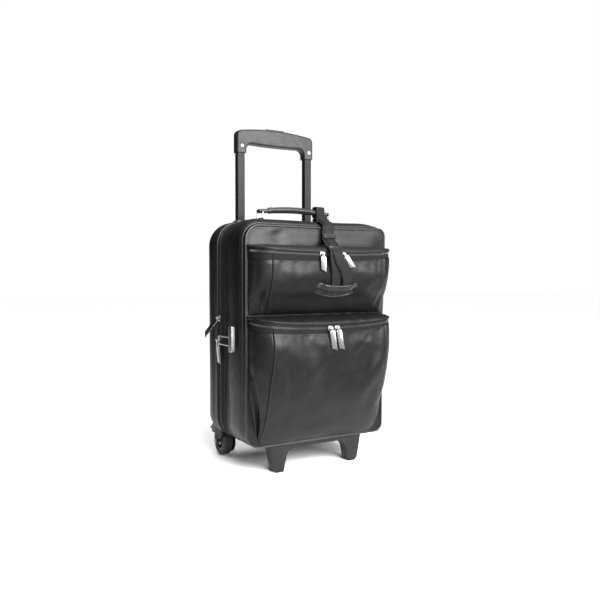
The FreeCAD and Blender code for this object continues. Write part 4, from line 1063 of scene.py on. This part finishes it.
def on_patch(x, out, up):
    """Point of the patch's own frame: x to the right, out from the leather, up the lean."""
    x, out, up = np.broadcast_arrays(x, out, up)
    c, s = math.cos(PATCH_LEAN), math.sin(PATCH_LEAN)
    return PATCH_AT + np.stack([x, -out * c - up * s, up * c - out * s], -1)


def patch_mesh():
    radii = np.array([0.15, 0.3, 0.45, 0.6, 0.72, 0.8, 0.84, 0.87, 0.9, 0.94, 0.97, 0.99, 1.0, 1.0])
    height = 2.2 + 1.6 * (1 - radii ** 2) - 0.9 * np.exp(-((radii - 0.86) / 0.022) ** 2)
    height[-2:] = 1.6, 0.1
    angle = full_turn(PATCH_SIDES)
    grid = on_patch(radii[:, None] * np.cos(angle) * PATCH_HALF_W, height[:, None],
                    radii[:, None] * np.sin(angle) * PATCH_HALF_H)
    rows = len(radii)
    top = rows * PATCH_SIDES
    faces = grid_faces(rows, PATCH_SIDES, closed=True)
    faces += [(top, (k + 1) % PATCH_SIDES, k) for k in range(PATCH_SIDES)]
    faces.append(tuple(range(top - PATCH_SIDES, top)))
    return np.concatenate([grid.reshape(-1, 3), on_patch(0.0, 3.8, 0.0)[None]]), faces


put("strap_patch_leather", *patch_mesh(), "lid", "leather", GLOSS_MAT, ("strap_patch",), sharp=60)
RIM_STEPS = 120
rim = full_turn(RIM_STEPS)
rim_path = on_patch(0.93 * PATCH_HALF_W * np.cos(rim), 2.45, 0.93 * PATCH_HALF_H * np.sin(rim))
patch_out = np.tile([0, -math.cos(PATCH_LEAN), -math.sin(PATCH_LEAN)], (RIM_STEPS, 1))
put("patch_stitching", *stitches(rim_path, patch_out, True, pitch=3.8, length=2.6),
    "lid", "leather", THREAD_MAT)


def keeper_strip():
    """Bowed leather strip with rolled edges, arched over the strap's end."""
    low, high, thick, sides = 1.5, 15.0, 2.3, 18
    xs = [-53.0, -49, -44, -40, -34, -26, -14, 0, 14, 28, 36, 42, 46, 50, 54]
    heights = [4.3, 4.3, 4.4, 6.2, 12.0, 14.8, 15.4, 15.5, 15.4, 14.8, 12.2, 6.4, 4.5, 4.3, 4.3]
    x = np.linspace(-53, 54, 60)
    turn = full_turn(sides)
    out = (smooth_curve(xs, heights, x) - 1.2)[:, None] + np.sin(turn) * thick
    bow = 4.0 * (1 - (x / 54) ** 2)
    up = (low + high) / 2 + squarer(np.cos(turn), 0.5) * (high - low) / 2 - bow[:, None]
    return on_patch(x[:, None], out, up).reshape(-1, 3), bar_faces(len(x), sides)


put("patch_keeper_strip", *keeper_strip(), "lid", "leather", GLOSS_MAT, ("patch_keeper",), sharp=60)

# --- strap: woven ribbons from the carry handle to the keeper ---
ROUTE = np.array([(68, 95, 566), (48, 60, 571), (34, 30, 559), (26, -6, 546), (22, -12, 526), (20, -20, 511),
                  (12, -47, 498), (8, -68, 482), (16, -69, 462), (30, -64, 445), (42, -55.5, 423),
                  (44, -50, 407)], float)
SECOND = np.array([(60, 88, 564.6), (44, 58, 568.8), (28, 29, 556.6), (20, -6.5, 543.6), (16, -10.5, 525),
                   (13, -18.5, 510), (6, -45, 496.8), (2, -65.6, 482), (3, -66, 466), (9, -61.5, 448),
                   (15, -53, 424), (16, -48, 407)], float)
STRAP_HALF, STRAP_THICK = 12.0, 1.6


def ribbon(route, half):
    """Flat woven strip; its UV map is in metres across and along."""
    path = resample(route, np.linspace(0, len(route) - 1, len(route) * 9), 0)
    tangent = unit(np.gradient(path, axis=0))
    side = unit(np.array([1.0, 0, 0]) - tangent * tangent[:, :1])
    up = np.cross(side, tangent)
    s = length_along(path)
    profile = [(-1, -0.5), (-0.97, -1), (-0.5, -1), (0, -1), (0.5, -1), (0.97, -1), (1, -0.5)]
    profile += [(-a, -b) for a, b in profile]
    grid = np.stack([path + side * half * a + up * STRAP_THICK / 2 * b for a, b in profile], 1)
    uv = np.stack([np.stack([np.full(len(s), a * half * MM), s * MM], -1) for a, _ in profile], 1)
    return grid.reshape(-1, 3), bar_faces(len(path), len(profile)), uv.reshape(-1, 2)


LOOP_X, LOOP_HALF_W, HANDLE_Y = 67.5, 11.5, 108.0
loop_angle = np.linspace(0, 2 * math.pi, 49)
loop_route = np.stack([np.full(len(loop_angle), LOOP_X), HANDLE_Y + squarer(np.sin(loop_angle), 0.6) * 10.3,
                       584.0 - squarer(np.cos(loop_angle), 0.6) * 13.2], -1)
strap_parts = [ribbon(ROUTE, STRAP_HALF), ribbon(SECOND, STRAP_HALF - 0.5), ribbon(loop_route, LOOP_HALF_W)]
strap_verts, strap_faces = merge([(v, f) for v, f, _ in strap_parts])
put("strap_ribbons", strap_verts, strap_faces, "lid", "webbing", WEB_MAT, ("strap_webbing",),
    uv=np.concatenate([uv for _, _, uv in strap_parts]), sharp=50)

# --- carry handle: padded grip with wrapped ends and flat tabs folded round the rings ---
ARC_END_X, ARC_END_Z, ARC_RISE, TAB_END = 72.0, 582.0, 4.5, 95.5
GRIP_SIDES, PAD_END = 28, 58
handle_x = np.concatenate([-TAB_END + 5.5 * (1 - np.cos(np.linspace(0, math.pi / 2, 6))),
                           np.linspace(-88, -77, 5), [-74, -71, -68.6, -68.0, -66, -62, -59.5, -58.9, -57],
                           np.linspace(-54, 0, 22)])
handle_x = np.concatenate([handle_x, -handle_x[-2::-1]])
ax = np.abs(handle_x)
handle_z = np.where(ax < ARC_END_X, ARC_END_Z + ARC_RISE * (1 - (ax / ARC_END_X) ** 2), ARC_END_Z)
handle_z = handle_z - 1.6 * smoothstep(ax, 64, 84)
tip = np.sqrt(np.clip(1 - ((ax - 90) / 5.5) ** 2, 0, 1)) * (ax > 90) + (ax <= 90)
girth_x = [0, 30, 57, 58.9, 59.5, 66, 68, 68.6, 74, 80, 96]
wide = smooth_curve(girth_x, [7.5, 7.4, 7.0, 7.0, 7.9, 7.9, 7.9, 7.4, 8.4, 8.5, 8.5], ax)
tall = smooth_curve(girth_x, [7.1, 7.0, 6.5, 6.5, 7.3, 7.3, 7.2, 6.2, 4.8, 4.6, 4.9], ax)
tall = tall * np.maximum(tip, 0.08)
power = (1 - 0.45 * smoothstep(ax, 66, 76))[:, None]
turn = full_turn(GRIP_SIDES)[None]
handle_y = HANDLE_Y + squarer(np.cos(turn), power) * wide[:, None]
seam_dent = 0.9 * bell(turn, 1.5 * math.pi, 0.16) * (ax < PAD_END)[:, None]
handle_grid = np.stack([np.broadcast_to(handle_x[:, None], handle_y.shape), handle_y,
                        handle_z[:, None] + (squarer(np.sin(turn), power) * tall[:, None] - seam_dent)], -1)
handle_leather = put("carry_handle_grip", handle_grid, bar_faces(len(handle_x), GRIP_SIDES), "carry_handle",
                     "leather", PIPING_MAT, ("carry_handle_leather",), sharp=55)
handle_thread = []
for k, normal in ((24, (0, 0.5, -0.86)), (18, (0, -0.5, -0.86))):
    line = handle_grid[ax < 57][:, k]
    handle_thread.append(stitches(line, np.tile(normal, (len(line), 1)), pitch=3.6, length=2.5))
for side in (-1, 1):
    for y in (-6.6, 6.6):
        line = np.array([(x * side, HANDLE_Y + y, 585.2) for x in np.linspace(76, 88, 12)])
        handle_thread.append(stitches(line, np.tile([0, 0, 1.0], (12, 1)), pitch=3.2, length=2.3))
put("carry_handle_stitching", *merge(handle_thread), "carry_handle", "leather", THREAD_MAT)


# --- hard parts: the CAD shapes with their edges eased ---
def set_finish(mesh, mat):
    mesh.materials.clear()
    mesh.materials.append(mat)


def refined(node, mat, bevel):
    """Copy of a CAD mesh with its edges eased by a bevel in millimetres."""
    mesh = NODES[node].data.copy()
    mesh.name = node + "_finished"
    obj = add_object(mesh.name, mesh)
    bm = bmesh.new()
    bm.from_mesh(mesh)
    bmesh.ops.remove_doubles(bm, verts=bm.verts, dist=2e-5)
    bmesh.ops.dissolve_limit(bm, angle_limit=math.radians(0.8), verts=bm.verts, edges=bm.edges)
    bmesh.ops.recalc_face_normals(bm, faces=bm.faces)
    for face in bm.faces:
        face.smooth = True
    bm.to_mesh(mesh)
    bm.free()
    set_finish(mesh, mat)
    mod = obj.modifiers.new("ease", "BEVEL")
    mod.width, mod.segments, mod.limit_method = bevel * MM, 2, "ANGLE"
    mod.angle_limit = math.radians(35)
    mod.harden_normals = mod.use_clamp_overlap = True
    apply_modifiers(obj)
    obj.data.set_sharp_from_angle(angle=math.radians(40))
    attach(obj, BODY_OF[node])
    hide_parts(node)


for node, mat, bevel in (("front_stand", PLASTIC_MAT, 1.2), ("trolley_bezel", BOSS_MAT, 0.5),
                         ("trolley_foot_bracket", PLASTIC_MAT, 0.5), ("wheel_housings", PLASTIC_MAT, 0.8),
                         ("release_button", PAD_MAT, 0.5), ("handle_anchors", PIPING_MAT, 0.8),
                         ("padlock_body", LOCK_MAT, 0.3), ("strap_buckles", DARK_METAL, 0.6),
                         ("wheel_left_hub", HUB_MAT, 0.4), ("wheel_right_hub", HUB_MAT, 0.4)):
    refined(node, mat, bevel)
for node in BODY_OF:
    if "pull" in node or "slider" in node:
        front_mat = PULL_MAT if "pull" in node else SLIDER_MAT
        refined(node, SIDE_PULL_MAT if "main" in node else front_mat, 0.35)

# the other CAD meshes are seen as they are, with a finish
for mat, names in ((LINING_MAT, "rear_frame_tray laptop_sleeve"), (BOARD_MAT, "front_frame_board"),
                   (TAPE_MAT, "hinge_strip"), (TUBE_MAT, "trolley_outer_tubes trolley_inner_tubes"),
                   (GRIP_MAT, "grip_front_shell grip_rear_shell"), (RIVET_MAT, "grip_rivets patch_rivets"),
                   (PLASTIC_MAT, "tube_end_plugs"), (CHROME_MAT, "ring_left ring_right"),
                   (TYRE_MAT, "wheel_left_tyre wheel_right_tyre"),
                   (DARK_METAL, "wheel_axles wheel_left_bearings wheel_right_bearings"),
                   (STEEL_MAT, "button_spring push_rods lock_plunger_left lock_plunger_right rear_screws"
                               " stand_screws carry_handle_core padlock_shackle")):
    for node in names.split():
        set_finish(NODES[node].data, mat)
